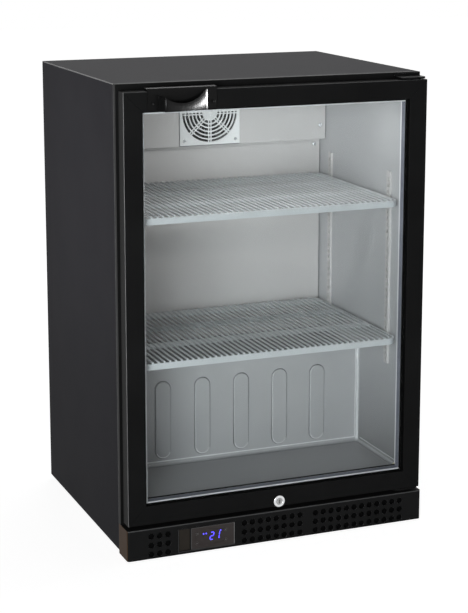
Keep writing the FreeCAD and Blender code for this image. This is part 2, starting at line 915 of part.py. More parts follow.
def ring_slot(inner, outer, low, high, y):
    """Curved slot between two radii; low and high give the end angle at a radius."""
    def arc(radius, a, b):
        ends = guard_point(radius, a, y), guard_point(radius, (a + b) / 2, y), guard_point(radius, b, y)
        return Part.Arc(*ends)

    out = arc(outer, low(outer), high(outer))
    back = arc(inner, high(inner), low(inner))
    right = Part.LineSegment(guard_point(outer, high(outer), y), guard_point(inner, high(inner), y))
    left = Part.LineSegment(guard_point(inner, low(inner), y), guard_point(outer, low(outer), y))
    return Part.Wire([piece.toShape() for piece in (out, right, back, left)])


def fan_guard():
    """Square guard with rings of slots between split spokes."""
    y = cover_front - guard_thickness
    g = guard_size / 2
    outer = wire_xz(rectangle(fan_x - g, fan_x + g, fan_z - g, fan_z + g), y)
    sector = 2 * math.pi / guard_spokes
    holes = []
    for ring in range(guard_rings):
        inner = guard_hub_radius + ring * guard_ring_pitch
        rim = inner + guard_slot_width
        for k in range(guard_spokes):
            start = k * sector
            holes.append(ring_slot(inner, rim,
                                   lambda r: start + math.asin(guard_spoke_half / r),
                                   lambda r: start + sector - math.asin(guard_spoke_half / r), y))
            holes.append(ring_slot(inner, rim,
                                   lambda r: start - math.asin(guard_split_half / r),
                                   lambda r: start + math.asin(guard_split_half / r), y))
    return plate_xz(outer, holes, guard_thickness)


def fan_start():
    """Front of the evaporator fan's frame."""
    return cover_front + cover_sheet


def evaporator_fan_frame():
    """Square fan frame whose four arms carry the motor."""
    s = fan_frame_size / 2
    y0 = fan_start()
    y1 = y0 + fan_frame_depth
    centre = Vector(fan_x, y0, fan_z)
    frame = box(fan_x - s, fan_x + s, y0, y1, fan_z - s, fan_z + s)
    frame = frame.cut(rod(fan_duct_radius, centre, BACK, fan_frame_depth))
    a = fan_arm_half
    arm_front = y1 - fan_arm_depth
    arms = [box(fan_x - s + a, fan_x + s - a, arm_front, y1, fan_z - a, fan_z + a),
            box(fan_x - a, fan_x + a, arm_front, y1, fan_z - s + a, fan_z + s - a)]
    stator_front = rotor_front() + fan_rotor_depth + fan_stator_gap
    stator = rod(fan_hub_radius, Vector(fan_x, stator_front, fan_z), BACK, y1 - stator_front)
    bore = rod(shaft_radius + running_clearance, Vector(fan_x, stator_front, fan_z), BACK,
               fan_rotor_depth / 2 - fan_stator_gap + fan_shaft_end_play)
    return frame.fuse(arms + [stator]).cut(bore)


def rotor_front():
    return fan_start() + fan_rotor_setback


def evaporator_fan_blade():
    """Evaporator fan rotor, axis front to back."""
    rotor = fan_rotor(fan_hub_radius, fan_tip_radius, fan_rotor_depth, fan_blades)
    rotor.rotate(Vector(0, 0, 0), ACROSS, -90)
    rotor.translate(Vector(fan_x, rotor_front(), fan_z))
    return rotor


def evaporator_coil():
    """Finned heat exchanger behind the fan, hung from the ceiling."""
    x0 = -inner_half + coil_side_gap
    length = 2 * (inner_half - coil_side_gap)
    y1 = liner_back
    loop = [Vector(x0 + s, y1 - d, ceiling - coil_height) for s, d in comb(length, coil_depth)]
    face = Part.Face(Part.makePolygon(loop + loop[:1]))
    return face.extrude(UP * coil_height)


def slot_z(index):
    """Height of a slot's centre in the shelf strips."""
    return strip_bottom + slot_first + index * slot_pitch


def shelf_strip(y):
    """Right-hand slotted strip: a shallow channel on the liner wall."""
    x = strip_face
    channel = box(x, inner_half, y - strip_width / 2, y + strip_width / 2, strip_bottom, strip_top)
    hollow = box(x + strip_sheet, inner_half, y - strip_width / 2 + strip_sheet,
                 y + strip_width / 2 - strip_sheet, strip_bottom, strip_top)
    slots = [box(x, x + strip_sheet, y - slot_width / 2, y + slot_width / 2,
                 slot_z(i) - slot_height / 2, slot_z(i) + slot_height / 2) for i in range(slot_count)]
    return channel.cut([hollow] + slots)


def shelf_strips():
    """Four strips, front and rear on both walls."""
    right = [shelf_strip(strip_front_y), shelf_strip(strip_rear_y)]
    return Part.makeCompound(right + [mirrored(strip) for strip in right])


def shelf_clip(y, index):
    """Right-hand support hooked into one slot of a strip."""
    top = slot_z(index) + clip_rise
    arm = box(strip_face - clip_reach, strip_face, y - clip_width / 2, y + clip_width / 2,
              top - clip_thickness, top)
    web = box(strip_face - clip_thickness, strip_face, y - clip_width / 2, y + clip_width / 2,
              slot_z(index) - slot_height / 2 - clip_tail, top)
    play = clip_hook_play
    hook = box(strip_face, strip_face + clip_hook, y - slot_width / 2 + play, y + slot_width / 2 - play,
               slot_z(index) - slot_height / 2 + play, slot_z(index) + slot_height / 2 - play)
    return arm.fuse([web, hook])


def shelf_clips():
    """Four clips under each shelf."""
    right = [shelf_clip(y, index) for y in (strip_front_y, strip_rear_y)
             for index in (lower_shelf_slot, upper_shelf_slot)]
    return Part.makeCompound(right + [mirrored(clip) for clip in right])


def rounded_rectangle(side, y0, y1, z, radius):
    """Flat outline with round corners, at one height."""
    plate = box(-side, side, y0, y1, z, z + 1)
    corners = edges_where(plate, lambda b: b.ZLength > 0.5)
    plate = plate.makeFillet(radius, corners)
    return [face for face in plate.Faces if near(face.BoundBox.ZMax, z)][0]


def wire_shelf(index):
    """Shelf of front-to-back wires on a band, with flat straps under the wires."""
    bottom = slot_z(index) + clip_rise + clip_play
    top = bottom + shelf_band_height
    t = shelf_band_thickness
    outer = rounded_rectangle(shelf_half, shelf_front_y, shelf_rear_y, bottom, shelf_corner_radius)
    inner = rounded_rectangle(shelf_half - t, shelf_front_y + t, shelf_rear_y - t, bottom,
                              shelf_corner_radius - t)
    band = outer.cut(inner).extrude(UP * shelf_band_height)
    depth = shelf_rear_y - shelf_front_y
    centres = [shelf_front_y + depth / 3, shelf_front_y + 2 * depth / 3,
               shelf_rear_y - shelf_strap_width / 2 - t]
    straps = [box(-shelf_half + t / 2, shelf_half - t / 2, y - shelf_strap_width / 2,
                  y + shelf_strap_width / 2, top - shelf_strap_thickness, top) for y in centres]
    wire_z = top + shelf_wire_radius - shelf_wire_bite
    reach = shelf_half - shelf_corner_radius / 2
    count = int(2 * reach / shelf_wire_pitch)
    wires = []
    for i in range(count + 1):
        x = (i - count / 2) * shelf_wire_pitch
        start = Vector(x, shelf_front_y + t / 2, wire_z)
        if abs(x) > shelf_half - shelf_corner_radius:
            start.y += shelf_corner_radius / 3
        wires.append(rod(shelf_wire_radius, start, BACK, shelf_rear_y - t / 2 - start.y
                         - (start.y - shelf_front_y - t / 2)))
    return band.fuse(straps + wires)


def interior_lamp():
    """Light bar under the ceiling, behind the top of the door."""
    lamp = box(-lamp_length / 2, lamp_length / 2, lamp_front_gap, lamp_front_gap + lamp_width,
               ceiling - lamp_height, ceiling)
    lower = edges_where(lamp, lambda b: near(b.ZMax, ceiling - lamp_height) and b.XLength > lamp_width)
    return lamp.makeFillet(lamp_edge_radius, lower)


# Door

def glazing_pocket():
    """Space inside the frame that holds the glazing unit, open to the back, where the seal covers it."""
    x = door_half - pocket_edge
    return box(-x, x, pocket_front, door_rear_y, door_bottom + pocket_edge, door_top - pocket_edge)


def profile_hollow():
    """Hollow inside the four frame profiles."""
    w = door_wall
    outer = box(-door_half + w, door_half - w, door_front + w, door_rear_y - w, door_bottom + w, door_top - w)
    x = door_half - pocket_edge + w
    inner = box(-x, x, door_front, door_rear_y, door_bottom + pocket_edge - w, door_top - pocket_edge + w)
    return outer.cut(inner)


def bush_places():
    """Lower ends of the two hinge bushes in the door."""
    return [Vector(pivot_x, pivot_y, door_bottom), Vector(pivot_x, pivot_y, door_top - bush_length)]


def lock_place():
    return Vector(0, door_front, lock_z)


def door_member(corners):
    """One mitred, hollow frame profile, with the hinge and lock holes that cross it."""
    bar = plate_xz(wire_xz(corners, door_front), [], door_thickness)
    holes = [rod(bush_radius + bush_fit, p, UP, bush_length) for p in bush_places()]
    holes.append(rod(lock_body_radius + lock_fit, lock_place(), BACK, door_thickness))
    return bar.cut([glazing_pocket(), profile_hollow()] + holes)


def door_corners():
    """Outer and inner corners of the frame, anticlockwise from the lower left."""
    outer = rectangle(-door_half, door_half, door_bottom, door_top)
    inner = rectangle(-door_half + door_face, door_half - door_face, door_bottom + door_face,
                      door_top - door_face)
    return outer, inner


def door_frame():
    """The four members by name."""
    outer, inner = door_corners()
    names = ("door_rail_bottom", "door_stile_right", "door_rail_top", "door_stile_left")
    members = {}
    for i, name in enumerate(names):
        j = (i + 1) % len(names)
        members[name] = door_member([outer[i], outer[j], inner[j], inner[i]])
    return members


def glass_pane(front):
    """One pane of the double glazing."""
    edge = pocket_edge + glass_edge_gap
    x = door_half - edge
    return box(-x, x, front, front + glass_thickness, door_bottom + edge, door_top - edge)


def glass_spacer():
    """Metal spacer ring between the panes."""
    def ring(inset):
        x = door_half - inset
        return box(-x, x, spacer_front, spacer_rear, door_bottom + inset, door_top - inset)

    return ring(spacer_inner_inset - spacer_width).cut(ring(spacer_inner_inset))


def door_gasket():
    """Seal ring on the back of the door, with a groove along its face."""
    rear = frame_front - gasket_clearance

    def ring(inset, front):
        x = door_half - inset
        return box(-x, x, front, rear, door_bottom + inset, door_top - inset)

    seal = ring(gasket_inset, door_rear_y).cut(ring(gasket_inset + gasket_width, door_rear_y))
    third = gasket_width / 3
    groove = ring(gasket_inset + third, rear - gasket_groove)
    groove = groove.cut(ring(gasket_inset + 2 * third, rear - gasket_groove))
    return seal.cut(groove)


def hinge_bushes():
    """Plastic bushes pressed into the door's corners."""
    bore = pin_radius + running_clearance
    bushes = []
    for p in bush_places():
        bushes.append(rod(bush_radius, p, UP, bush_length).cut(rod(bore, p, UP, bush_length)))
    return Part.makeCompound(bushes)


def hinge_bracket(plate_bottom, leg_bottom, pin_bottom):
    """Plate with a riveted pin and a leg fixed to the front frame."""
    x1 = door_half
    x0 = x1 - hinge_span
    y0 = pivot_y - hinge_plate_reach
    plate = box(x0, x1, y0, frame_front, plate_bottom, plate_bottom + hinge_plate)
    nose = edges_where(plate, lambda b: near(b.YMax, y0) and b.ZLength > 1)
    plate = plate.makeFillet(hinge_nose_radius, nose)
    leg = box(x0, x1, frame_front - hinge_leg, frame_front, leg_bottom, leg_bottom + hinge_leg_height)
    pin = rod(pin_radius, Vector(pivot_x, pivot_y, pin_bottom), UP, pin_length)
    return plate.fuse([leg, pin])


def top_hinge_bracket():
    low = door_top + hinge_gap
    return hinge_bracket(low, low, low - pin_length)


def bottom_hinge_bracket():
    low = door_bottom - hinge_gap - hinge_plate
    return hinge_bracket(low, low + hinge_plate, low + hinge_plate)


def handle_body():
    """Bulging part of the handle: leaning left end, front curving back to the right tab."""
    x0 = handle_left + handle_tab
    x1 = handle_right - handle_right_tab
    span = x1 - x0
    radius = (span ** 2 + handle_reach ** 2) / (2 * handle_reach)
    y0 = door_front - handle_plate

    def outline(inset):
        r = radius - inset
        centre = Vector(x0, handle_front + radius, handle_bottom)
        lean = handle_end_lean + inset
        start = Vector(x0 + lean, centre.y - math.sqrt(r ** 2 - lean ** 2), handle_bottom)
        end_x = x0 + math.sqrt(r ** 2 - (centre.y - y0) ** 2)
        end = Vector(end_x, y0, handle_bottom)
        middle_x = (start.x + end_x) / 2
        middle = Vector(middle_x, centre.y - math.sqrt(r ** 2 - (middle_x - x0) ** 2), handle_bottom)
        corner = Vector(x0 + inset, y0, handle_bottom)
        edges = [Part.LineSegment(corner, start), Part.Arc(start, middle, end), Part.LineSegment(end, corner)]
        return Part.Face(Part.Wire([edge.toShape() for edge in edges]))

    height = door_top - handle_bottom
    solid = outline(0).extrude(UP * height)
    nose = edges_where(solid, lambda b: near(b.XMax, x0 + handle_end_lean) and near(b.ZLength, height))
    solid = solid.makeFillet(handle_nose_radius, nose)
    pocket = outline(handle_wall).extrude(UP * height)
    pocket.translate(UP * handle_floor)
    rim_z = handle_bottom + handle_rim_low + handle_rim_radius
    scoop = rod(handle_rim_radius, Vector(x0 + handle_rim_centre, handle_front, rim_z), BACK,
                handle_reach - handle_plate)
    return solid.cut([pocket, scoop])


def door_handle():
    """Pull handle with a finger pocket open at the top and a lip over the door's top edge."""
    y0 = door_front - handle_plate
    plate = box(handle_left, handle_right, y0, door_front, handle_bottom, handle_top)
    corners = edges_where(plate, lambda b: near(b.ZMax, handle_bottom) and near(b.XLength, 0))
    plate = plate.makeFillet(handle_corner_radius, corners)
    lip = box(handle_left, handle_right, door_front, door_front + handle_lip_depth,
              door_top + handle_lip_gap, handle_top)
    return plate.fuse([lip, handle_body()])


def handle_screws():
    """Two screws through the handle's tabs."""
    z = handle_bottom + handle_screw_height
    y = door_front - handle_plate
    xs = (handle_left + handle_tab / 2, handle_right - handle_right_tab / 2)
    return Part.makeCompound([screw(Vector(x, y, z), -BACK, small_screw_radius) for x in xs])


def lock_barrel():
    """Fixed lock body with a collar on the door's face."""
    p = lock_place()
    collar = rod(lock_collar_radius, p - BACK * lock_collar_proud, BACK, lock_collar_proud)
    rim = edges_where(collar, lambda b: near(b.YMax, door_front - lock_collar_proud))
    collar = collar.makeFillet(lock_collar_edge, rim)
    body = rod(lock_body_radius, p, BACK, door_thickness)
    bore = rod(plug_radius + running_clearance, p - BACK * lock_collar_proud, BACK,
               lock_collar_proud + door_thickness)
    return collar.fuse(body).cut(bore)


def cam_front():
    return door_rear_y + cam_gap


def lock_plug():
    """Turning plug with a keyhole and a tail for the cam."""
    front = lock_place() - BACK * (lock_collar_proud + plug_proud)
    plug = rod(plug_radius, front, BACK, cam_front() - front.y)
    tail = rod(plug_tail_radius, Vector(0, cam_front(), lock_z), BACK, cam_thickness + 1)
    w, h = keyhole_width / 2, keyhole_height / 2
    keyhole = box(-w, w, front.y, front.y + keyhole_depth, lock_z - h, lock_z + h)
    return plug.fuse(tail).cut(keyhole)


def lock_cam():
    """Flat cam on the plug's tail, pointing sideways when unlocked."""
    y = cam_front()
    w = cam_half_width
    arm = box(-cam_length, 0, y, y + cam_thickness, lock_z - w, lock_z + w)
    hub = rod(w, Vector(0, y, lock_z), BACK, cam_thickness)
    hole = rod(plug_tail_radius + cam_hole_clearance, Vector(0, y, lock_z), BACK, cam_thickness)
    return arm.fuse(hub).cut(hole)


def lock_strike():
    """Small angle fixed on the plinth, with a lip that the cam drops behind."""
    w = strike_half_width
    lip_back = cam_front() - strike_lip_gap
    base = box(-w, w, lip_back, lip_back + strike_toe, plinth_height, plinth_height + strike_sheet)
    lip = box(-w, w, lip_back - strike_sheet, lip_back, plinth_height,
              plinth_height + strike_sheet + strike_lip_height)
    return base.fuse(lip)


# Fasteners on the cabinet

def cabinet_screws():
    """Screws of the evaporator cover, fan guard, duct panel, hinges and rear panels."""
    g = guard_screw_offset
    guard_front = cover_front - guard_thickness
    heads = [screw(Vector(fan_x + sx * g, guard_front, fan_z + sz * g), -BACK, small_screw_radius)
             for sx in (-1, 1) for sz in (-1, 1)]
    side = inner_half - inner_side_gap - inner_screw_margin
    for sx in (-1, 1):
        heads.append(screw(Vector(sx * side, cover_front, cover_bottom + cover_screw_rise), -BACK))
        heads.append(screw(Vector(sx * side, duct_front, cover_bottom - duct_screw_drop), -BACK))
    leg_front = frame_front - hinge_leg
    bottom_leg = door_bottom - hinge_gap + hinge_leg_height / 2
    first_x = door_half - hinge_span + hinge_screw_margin
    for x in (first_x, first_x + hinge_screw_pitch):
        heads.append(screw(Vector(x, leg_front, bottom_leg), -BACK, small_screw_radius))
    side = half - sheet - rear_screw_margin
    low, high = bay_top + rear_screw_margin, case_height - sheet - rear_screw_margin
    for i in range(rear_screw_rows):
        z = low + (high - low) * i / (rear_screw_rows - 1)
        heads += [screw(Vector(sx * side, case_depth, z), BACK) for sx in (-1, 1)]
    for z in (base_top + rear_screw_margin, bay_top - rear_screw_margin):
        heads += [screw(Vector(sx * side, case_depth, z), BACK) for sx in (-1, 1)]
    return Part.makeCompound(heads)


def all_parts():
    """Every node by name."""
    parts = {
        "side_panel_right": side_panel(),
        "side_panel_left": mirrored(side_panel()),
        "top_panel": top_panel(),
        "rear_panel": rear_panel(),
        "inner_liner": inner_liner(),
        "insulation_foam": insulation_foam(),
        "bay_panel": bay_panel(),
        "front_frame": front_frame(),
        "base_pan": base_pan(),
        "plinth_grille": plinth_grille(),
        "controller_bezel": controller_bezel(),
        "rocker_switch": rocker_switch(),
        "display_lens": display_lens(),
        "display_digits": display_digits(),
        "compressor": compressor(),
        "compressor_mounts": compressor_mounts(),
        "condenser_coil": condenser_coil(),
        "condenser_fan_shroud": condenser_fan_shroud(),
        "condenser_fan_blade": condenser_fan_blade(),
        "condenser_fan_motor": condenser_fan_motor(),
        "drip_tray": drip_tray(),
        "drain_tube": drain_tube(),
        "rear_vent_cover": rear_vent_cover(),
        "power_inlet": power_inlet(),
        "duct_panel": duct_panel(),
        "evaporator_cover": evaporator_cover(),
        "fan_guard": fan_guard(),
        "evaporator_fan_frame": evaporator_fan_frame(),
        "evaporator_fan_blade": evaporator_fan_blade(),
        "evaporator_coil": evaporator_coil(),
        "shelf_strips": shelf_strips(),
        "shelf_clips": shelf_clips(),
        "shelf_lower": wire_shelf(lower_shelf_slot),
        "shelf_upper": wire_shelf(upper_shelf_slot),
        "interior_lamp": interior_lamp(),
        "outer_glass": glass_pane(pocket_front),
        "inner_glass": glass_pane(spacer_rear),
        "glass_spacer": glass_spacer(),
        "door_gasket": door_gasket(),
        "hinge_bushes": hinge_bushes(),
        "top_hinge_bracket": top_hinge_bracket(),
        "bottom_hinge_bracket": bottom_hinge_bracket(),
        "door_handle": door_handle(),
        "handle_screws": handle_screws(),
        "lock_barrel": lock_barrel(),
        "lock_plug": lock_plug(),
        "lock_cam": lock_cam(),
        "cabinet_screws": cabinet_screws(),
    }
    parts.update(door_frame())
    for i, place in enumerate(button_places()):
        parts["button_%d" % (i + 1)] = button(place)
    for i, place in enumerate(foot_places()):
        parts["levelling_foot_%d" % (i + 1)] = levelling_foot(place)
    return parts


def main():
    os.makedirs("parts", exist_ok=True)
    for name, shape in sorted(all_parts().items()):
        shape.translate(to_origin)
        shape.exportStep("parts/%s.step" % name)
        print(name, len(shape.Solids), "solids", "valid" if shape.isValid() else "NOT VALID",
              round(shape.Volume))


main()
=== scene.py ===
"""Looks of a single-door glass-fronted bar fridge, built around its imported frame.

Everything is in metres in the frame's own axes: X right, Y back, Z up, origin on the floor under
the middle of the footprint.
"""
import json
import math

import bmesh
import bpy
from mathutils import Matrix, Vector


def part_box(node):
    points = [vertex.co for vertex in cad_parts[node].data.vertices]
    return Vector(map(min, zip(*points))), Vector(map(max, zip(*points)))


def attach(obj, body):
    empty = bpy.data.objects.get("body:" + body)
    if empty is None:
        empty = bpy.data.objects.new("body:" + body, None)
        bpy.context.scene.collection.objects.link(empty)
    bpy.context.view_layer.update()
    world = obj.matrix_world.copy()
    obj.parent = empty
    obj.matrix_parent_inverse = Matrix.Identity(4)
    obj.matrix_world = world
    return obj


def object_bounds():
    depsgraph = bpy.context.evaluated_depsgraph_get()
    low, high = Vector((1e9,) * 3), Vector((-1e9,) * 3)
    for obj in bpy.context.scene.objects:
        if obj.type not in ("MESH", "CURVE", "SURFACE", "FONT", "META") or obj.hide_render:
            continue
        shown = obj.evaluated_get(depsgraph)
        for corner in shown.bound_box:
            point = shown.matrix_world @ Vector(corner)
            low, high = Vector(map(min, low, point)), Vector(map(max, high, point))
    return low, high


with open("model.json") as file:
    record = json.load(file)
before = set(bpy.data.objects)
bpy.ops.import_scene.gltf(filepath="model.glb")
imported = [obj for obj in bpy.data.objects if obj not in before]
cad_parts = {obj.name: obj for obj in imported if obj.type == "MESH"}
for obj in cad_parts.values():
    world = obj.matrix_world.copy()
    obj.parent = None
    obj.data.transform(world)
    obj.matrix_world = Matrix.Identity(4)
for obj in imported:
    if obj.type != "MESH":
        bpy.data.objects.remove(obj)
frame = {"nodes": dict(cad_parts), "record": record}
cad_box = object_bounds()
nodes = frame["nodes"]
MM = 0.001

# Camera, at the photograph's viewing angle
CAMERA_PLACE = (-1.215, -3.0246, 1.191)
CAMERA_YAW = 21.98
CAMERA_PITCH = 11.08
CAMERA_SHIFT = -0.125
FOCAL_PIXELS = 1701
IMAGE_HEIGHT = 613
SENSOR = 36.0

# Surroundings
AMBIENT = 0.08
AMBIENT_COLOUR = (1.0, 0.975, 0.95, 1.0)

# Lamps: place, aim and size in metres, power in watts, spread in degrees
OBJECT_MIDDLE = (0, 0, 0.5)
KEY_COLOUR = (0.95, 0.975, 1.0)
KEY_PLACE = (-1.9, -2.9, 0.75)
KEY_AIM = (0.25, 0.2, 0.8)
KEY_SIZE = 1.2
KEY_POWER = 12.0
KEY_SPREAD = 60
SIDE_PLACE = (-2.6, -0.2, 0.9)
SIDE_AIM = (-0.3, 0, 0.7)
SIDE_SIZE = 0.5
SIDE_POWER = 0.95
SIDE_SPREAD = 28
OVERHEAD_PLACE = (0.8, 0.4, 3.0)
OVERHEAD_SIZE = 2.0
OVERHEAD_POWER = 12
BACK_PLACE = (0.9, 2.6, 2.6)
BACK_SIZE = 1.8
BACK_POWER = 18
GLOSS_PLACE = (0.91, -0.50, 0.71)
GLOSS_AIM = (-0.155, -0.246, 0.84)
GLOSS_SIZE = 0.42
GLOSS_POWER = 6.5
GLOSS_SPREAD = 28
INSIDE_POWER = 0.52
INSIDE_GAP = 2.0 * MM
INSIDE_LEAD = 50.0 * MM

# Floor
FLOOR_SIZE = 12.0
FLOOR_SHADOW = 0.4
FLOOR_GLOW = 0.9
FLOOR_NEAR = 0.8
FLOOR_FAR = 2.2
FOOTPRINT_MARGIN = 32.0 * MM

# Detail sizes
SPACER_WIDTH = 10.5 * MM
SPACER_LINE = 2.4 * MM
PERFORATION_PITCH = 3.4 * MM
PERFORATION_SIZE = 1.3 * MM
PERFORATION_ROWS = (-2.2 * MM, 2.2 * MM)
STRIP_MARGIN = 1.0 * MM
LIFT = 0.06 * MM
CROSS_LENGTH = 0.5
CROSS_WIDTH = 0.12
EDGE_LINE = 1.0 * MM
GUARD_SHADOW_WIDTH = 1.6 * MM
PLINTH_TOP = 59.0 * MM
PLINTH_HIGHLIGHT_WIDTH = 1.8 * MM
TRIM_WIDTH = 0.9 * MM
STRIP_SHEET = 1.3 * MM
KEY_COUNT = 4
KEY_MARK_RADIUS = 0.7 * MM
REAR_MARGIN = 200.0 * MM
WELD_DISTANCE = 0.001 * MM
BEVEL_SEGMENTS = 2
BEVEL_ANGLE = 40
FILTER_SETBACK = 5.0 * MM
FILTER_THICKNESS = 3.0 * MM
FILTER_GAP = 3.0 * MM

# Liner features that the detail lines follow
LINER_SHEET = 1.0 * MM
STEP_FRONT = 161.0 * MM
STEP_TOP = 290.0 * MM
FLOOR_LEVEL = 95.0 * MM
COVE = 8.0 * MM
WALL_FADE = 220.0 * MM
PILL_COUNT = 5
PILL_PITCH = 82.0 * MM
PILL_CENTRE = 8.0 * MM
PILL_RADIUS = 16.0 * MM
PILL_BOTTOM_GAP = 14.0 * MM
PILL_TOP_GAP = 26.0 * MM
PILL_RELIEF = 3.0 * MM
CREASE_WIDTH = 1.1 * MM
BEAD_WIDTH = 1.8 * MM
BEAD_HEIGHT = 0.5 * MM

# Shares and levels in the materials
NOISE_LOW = 0.3
NOISE_HIGH = 0.7
GRAIN_STRENGTH = 0.25
BRUSHING = (900, 900, 14)
SIDE_ON = 0.9
FACING = 0.8
# Levels of painted shade in the liner and on the wires, and the share of the door's top painted highlight
SHADE_STEEL = 0.17
FLOOR_SHADE = 0.5
WALL_SHADE = 0.9
STEP_SHADE = (0.45, 0.05)
WIRE_TURN = (0.3, 0.8)
WIRE_SIDE_SHADE = 0.2
TOP_HIGHLIGHT_SHARE = 0.35


# Node tools

def add(tree, kind, inputs=None, **settings):
    """New shader node with its settings and input values."""
    node = tree.nodes.new(kind)
    for name, value in settings.items():
        setattr(node, name, value)
    for name, value in (inputs or {}).items():
        node.inputs[name].default_value = value
    return node


def math_node(tree, operation, *values):
    """Result of a sum on numbers and other nodes' outputs."""
    node = add(tree, "ShaderNodeMath", operation=operation)
    for socket, value in zip(node.inputs, values):
        if isinstance(value, (int, float)):
            socket.default_value = value
        else:
            tree.links.new(value, socket)
    return node.outputs[0]


def new_material(name):
    """Empty node material and its Principled shader."""
    material = bpy.data.materials.new(name)
    material.use_nodes = True
    tree = material.node_tree
    shader = tree.nodes["Principled BSDF"]
    return material, tree, shader


def rgb(value):
    """Grey level or colour as four channels."""
    if isinstance(value, (int, float)):
        return (value, value, value, 1.0)
    return (*value, 1.0)


def noise(tree, scale, detail=4.0, stretch=(1, 1, 1)):
    """Noise over the object's own coordinates, stretched per axis."""
    place = add(tree, "ShaderNodeTexCoord")
    mapping = add(tree, "ShaderNodeMapping", {"Scale": stretch})
    texture = add(tree, "ShaderNodeTexNoise", {"Scale": scale, "Detail": detail, "Roughness": 0.6})
    tree.links.new(place.outputs["Object"], mapping.inputs["Vector"])
    tree.links.new(mapping.outputs["Vector"], texture.inputs["Vector"])
    return texture.outputs["Fac"]


def map_range(tree, value, start, end, low, high):
    """Number that runs from low to high as a value runs from start to end."""
    limits = {"From Min": start, "From Max": end, "To Min": low, "To Max": high}
    ranged = add(tree, "ShaderNodeMapRange", limits)
    tree.links.new(value, ranged.inputs["Value"])
    return ranged.outputs["Result"]


def spread(tree, factor, low, high):
    """Noise factor turned into a range of numbers."""
    return map_range(tree, factor, NOISE_LOW, NOISE_HIGH, low, high)


def tint(tree, factor, low, high):
    """Noise factor turned into a blend of two colours."""
    ramp = add(tree, "ShaderNodeValToRGB")
    ramp.color_ramp.elements[0].position = NOISE_LOW
    ramp.color_ramp.elements[1].position = NOISE_HIGH
    ramp.color_ramp.elements[0].color = rgb(low)
    ramp.color_ramp.elements[1].color = rgb(high)
    tree.links.new(factor, ramp.inputs["Fac"])
    return ramp.outputs["Color"]


def bump(tree, shader, factor, strength, distance):
    """Surface relief from a noise factor."""
    relief = add(tree, "ShaderNodeBump", {"Strength": strength, "Distance": distance})
    tree.links.new(factor, relief.inputs["Height"])
    tree.links.new(relief.outputs["Normal"], shader.inputs["Normal"])


def axes_of(tree, vector):
    """X, Y and Z of a vector output."""
    axes = add(tree, "ShaderNodeSeparateXYZ")
    tree.links.new(vector, axes.inputs[0])
    return axes.outputs["X"], axes.outputs["Y"], axes.outputs["Z"]


def object_axes(tree):
    """The object's own coordinates."""
    return axes_of(tree, add(tree, "ShaderNodeTexCoord").outputs["Object"])


def normal_axes(tree):
    """The direction that the surface faces."""
    return axes_of(tree, add(tree, "ShaderNodeNewGeometry").outputs["Normal"])


def recolour(material, factor, colour):
    """Blends a colour over the base colour by a factor made in the same node tree."""
    tree = material.node_tree
    base = tree.nodes["Principled BSDF"].inputs["Base Color"]
    mix = add(tree, "ShaderNodeMix", data_type="RGBA")
    tree.links.new(factor, mix.inputs["Factor"])
    tree.links.new(base.links[0].from_socket, mix.inputs[6])
    mix.inputs[7].default_value = rgb(colour)
    tree.links.new(mix.outputs[2], base)


def surface(name, low, high, rough, tint_scale, grain_scale, grain_depth, stretch=(1, 1, 1), **sockets):
    """Material with mottled colour, uneven gloss and a fine grain."""
    material, tree, shader = new_material(name)
    cloud = noise(tree, tint_scale, 3.0)
    grain = noise(tree, grain_scale, 2.0, stretch)
    tree.links.new(tint(tree, cloud, low, high), shader.inputs["Base Color"])
    tree.links.new(spread(tree, grain, *rough), shader.inputs["Roughness"])
    bump(tree, shader, grain, GRAIN_STRENGTH, grain_depth)
    for socket, value in sockets.items():
        shader.inputs[socket.replace("_", " ")].default_value = value
    return material


# Materials

def glass_material():
    """Clear float glass that lets light through to the inside."""
    material, tree, shader = new_material("clear_glass")
    cloud = noise(tree, 3.0, 2.0)
    tree.links.new(tint(tree, cloud, (0.95, 0.965, 0.965), (0.97, 0.98, 0.98)), shader.inputs["Base Color"])
    tree.links.new(spread(tree, cloud, 0.0, 0.01), shader.inputs["Roughness"])
    shader.inputs["Transmission Weight"].default_value = 1.0
    shader.inputs["IOR"].default_value = 1.12
    clear = add(tree, "ShaderNodeBsdfTransparent", {"Color": (0.97, 0.98, 0.98, 1.0)})
    path = add(tree, "ShaderNodeLightPath")
    either = math_node(tree, "MAXIMUM", path.outputs["Is Shadow Ray"], path.outputs["Is Diffuse Ray"])
    mix = add(tree, "ShaderNodeMixShader")
    tree.links.new(either, mix.inputs["Fac"])
    tree.links.new(shader.outputs["BSDF"], mix.inputs[1])
    tree.links.new(clear.outputs["BSDF"], mix.inputs[2])
    tree.links.new(mix.outputs["Shader"], tree.nodes["Material Output"].inputs["Surface"])
    return material


def spacer_inside():
    """Lowest and highest corner of the space inside the glazing spacer."""
    low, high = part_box("glass_spacer")
    low += Vector((SPACER_WIDTH, 0, SPACER_WIDTH))
    high -= Vector((SPACER_WIDTH, 0, SPACER_WIDTH))
    return low, high


def door_paint():
    """Black door coat, with painted shade on its sides and painted highlights along the left and top front
    edges.
    """
    material = surface("black_door_coat", 0.009, 0.012, (0.26, 0.34), 9.0, 1100.0, 0.012 * MM,
                       Specular_IOR_Level=0.012)
    tree = material.node_tree
    x, y, z = object_axes(tree)
    low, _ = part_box("door_stile_left")
    _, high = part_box("door_rail_top")
    front = math_node(tree, "LESS_THAN", y, low.y + EDGE_LINE)
    left = math_node(tree, "LESS_THAN", x, low.x + EDGE_LINE)
    top = math_node(tree, "GREATER_THAN", z, high.z - EDGE_LINE)
    faint_top_highlight = math_node(tree, "MULTIPLY", top, TOP_HIGHLIGHT_SHARE)
    line = math_node(tree, "MULTIPLY", front, math_node(tree, "MAXIMUM", left, faint_top_highlight))
    across, _, _ = normal_axes(tree)
    side = math_node(tree, "GREATER_THAN", math_node(tree, "ABSOLUTE", across), SIDE_ON)
    # painted shade: faces turned to the side are darkened
    recolour(material, side, 0.005)
    # painted highlight: a paler line along the left and top front edges
    recolour(material, line, 0.16)
    return material


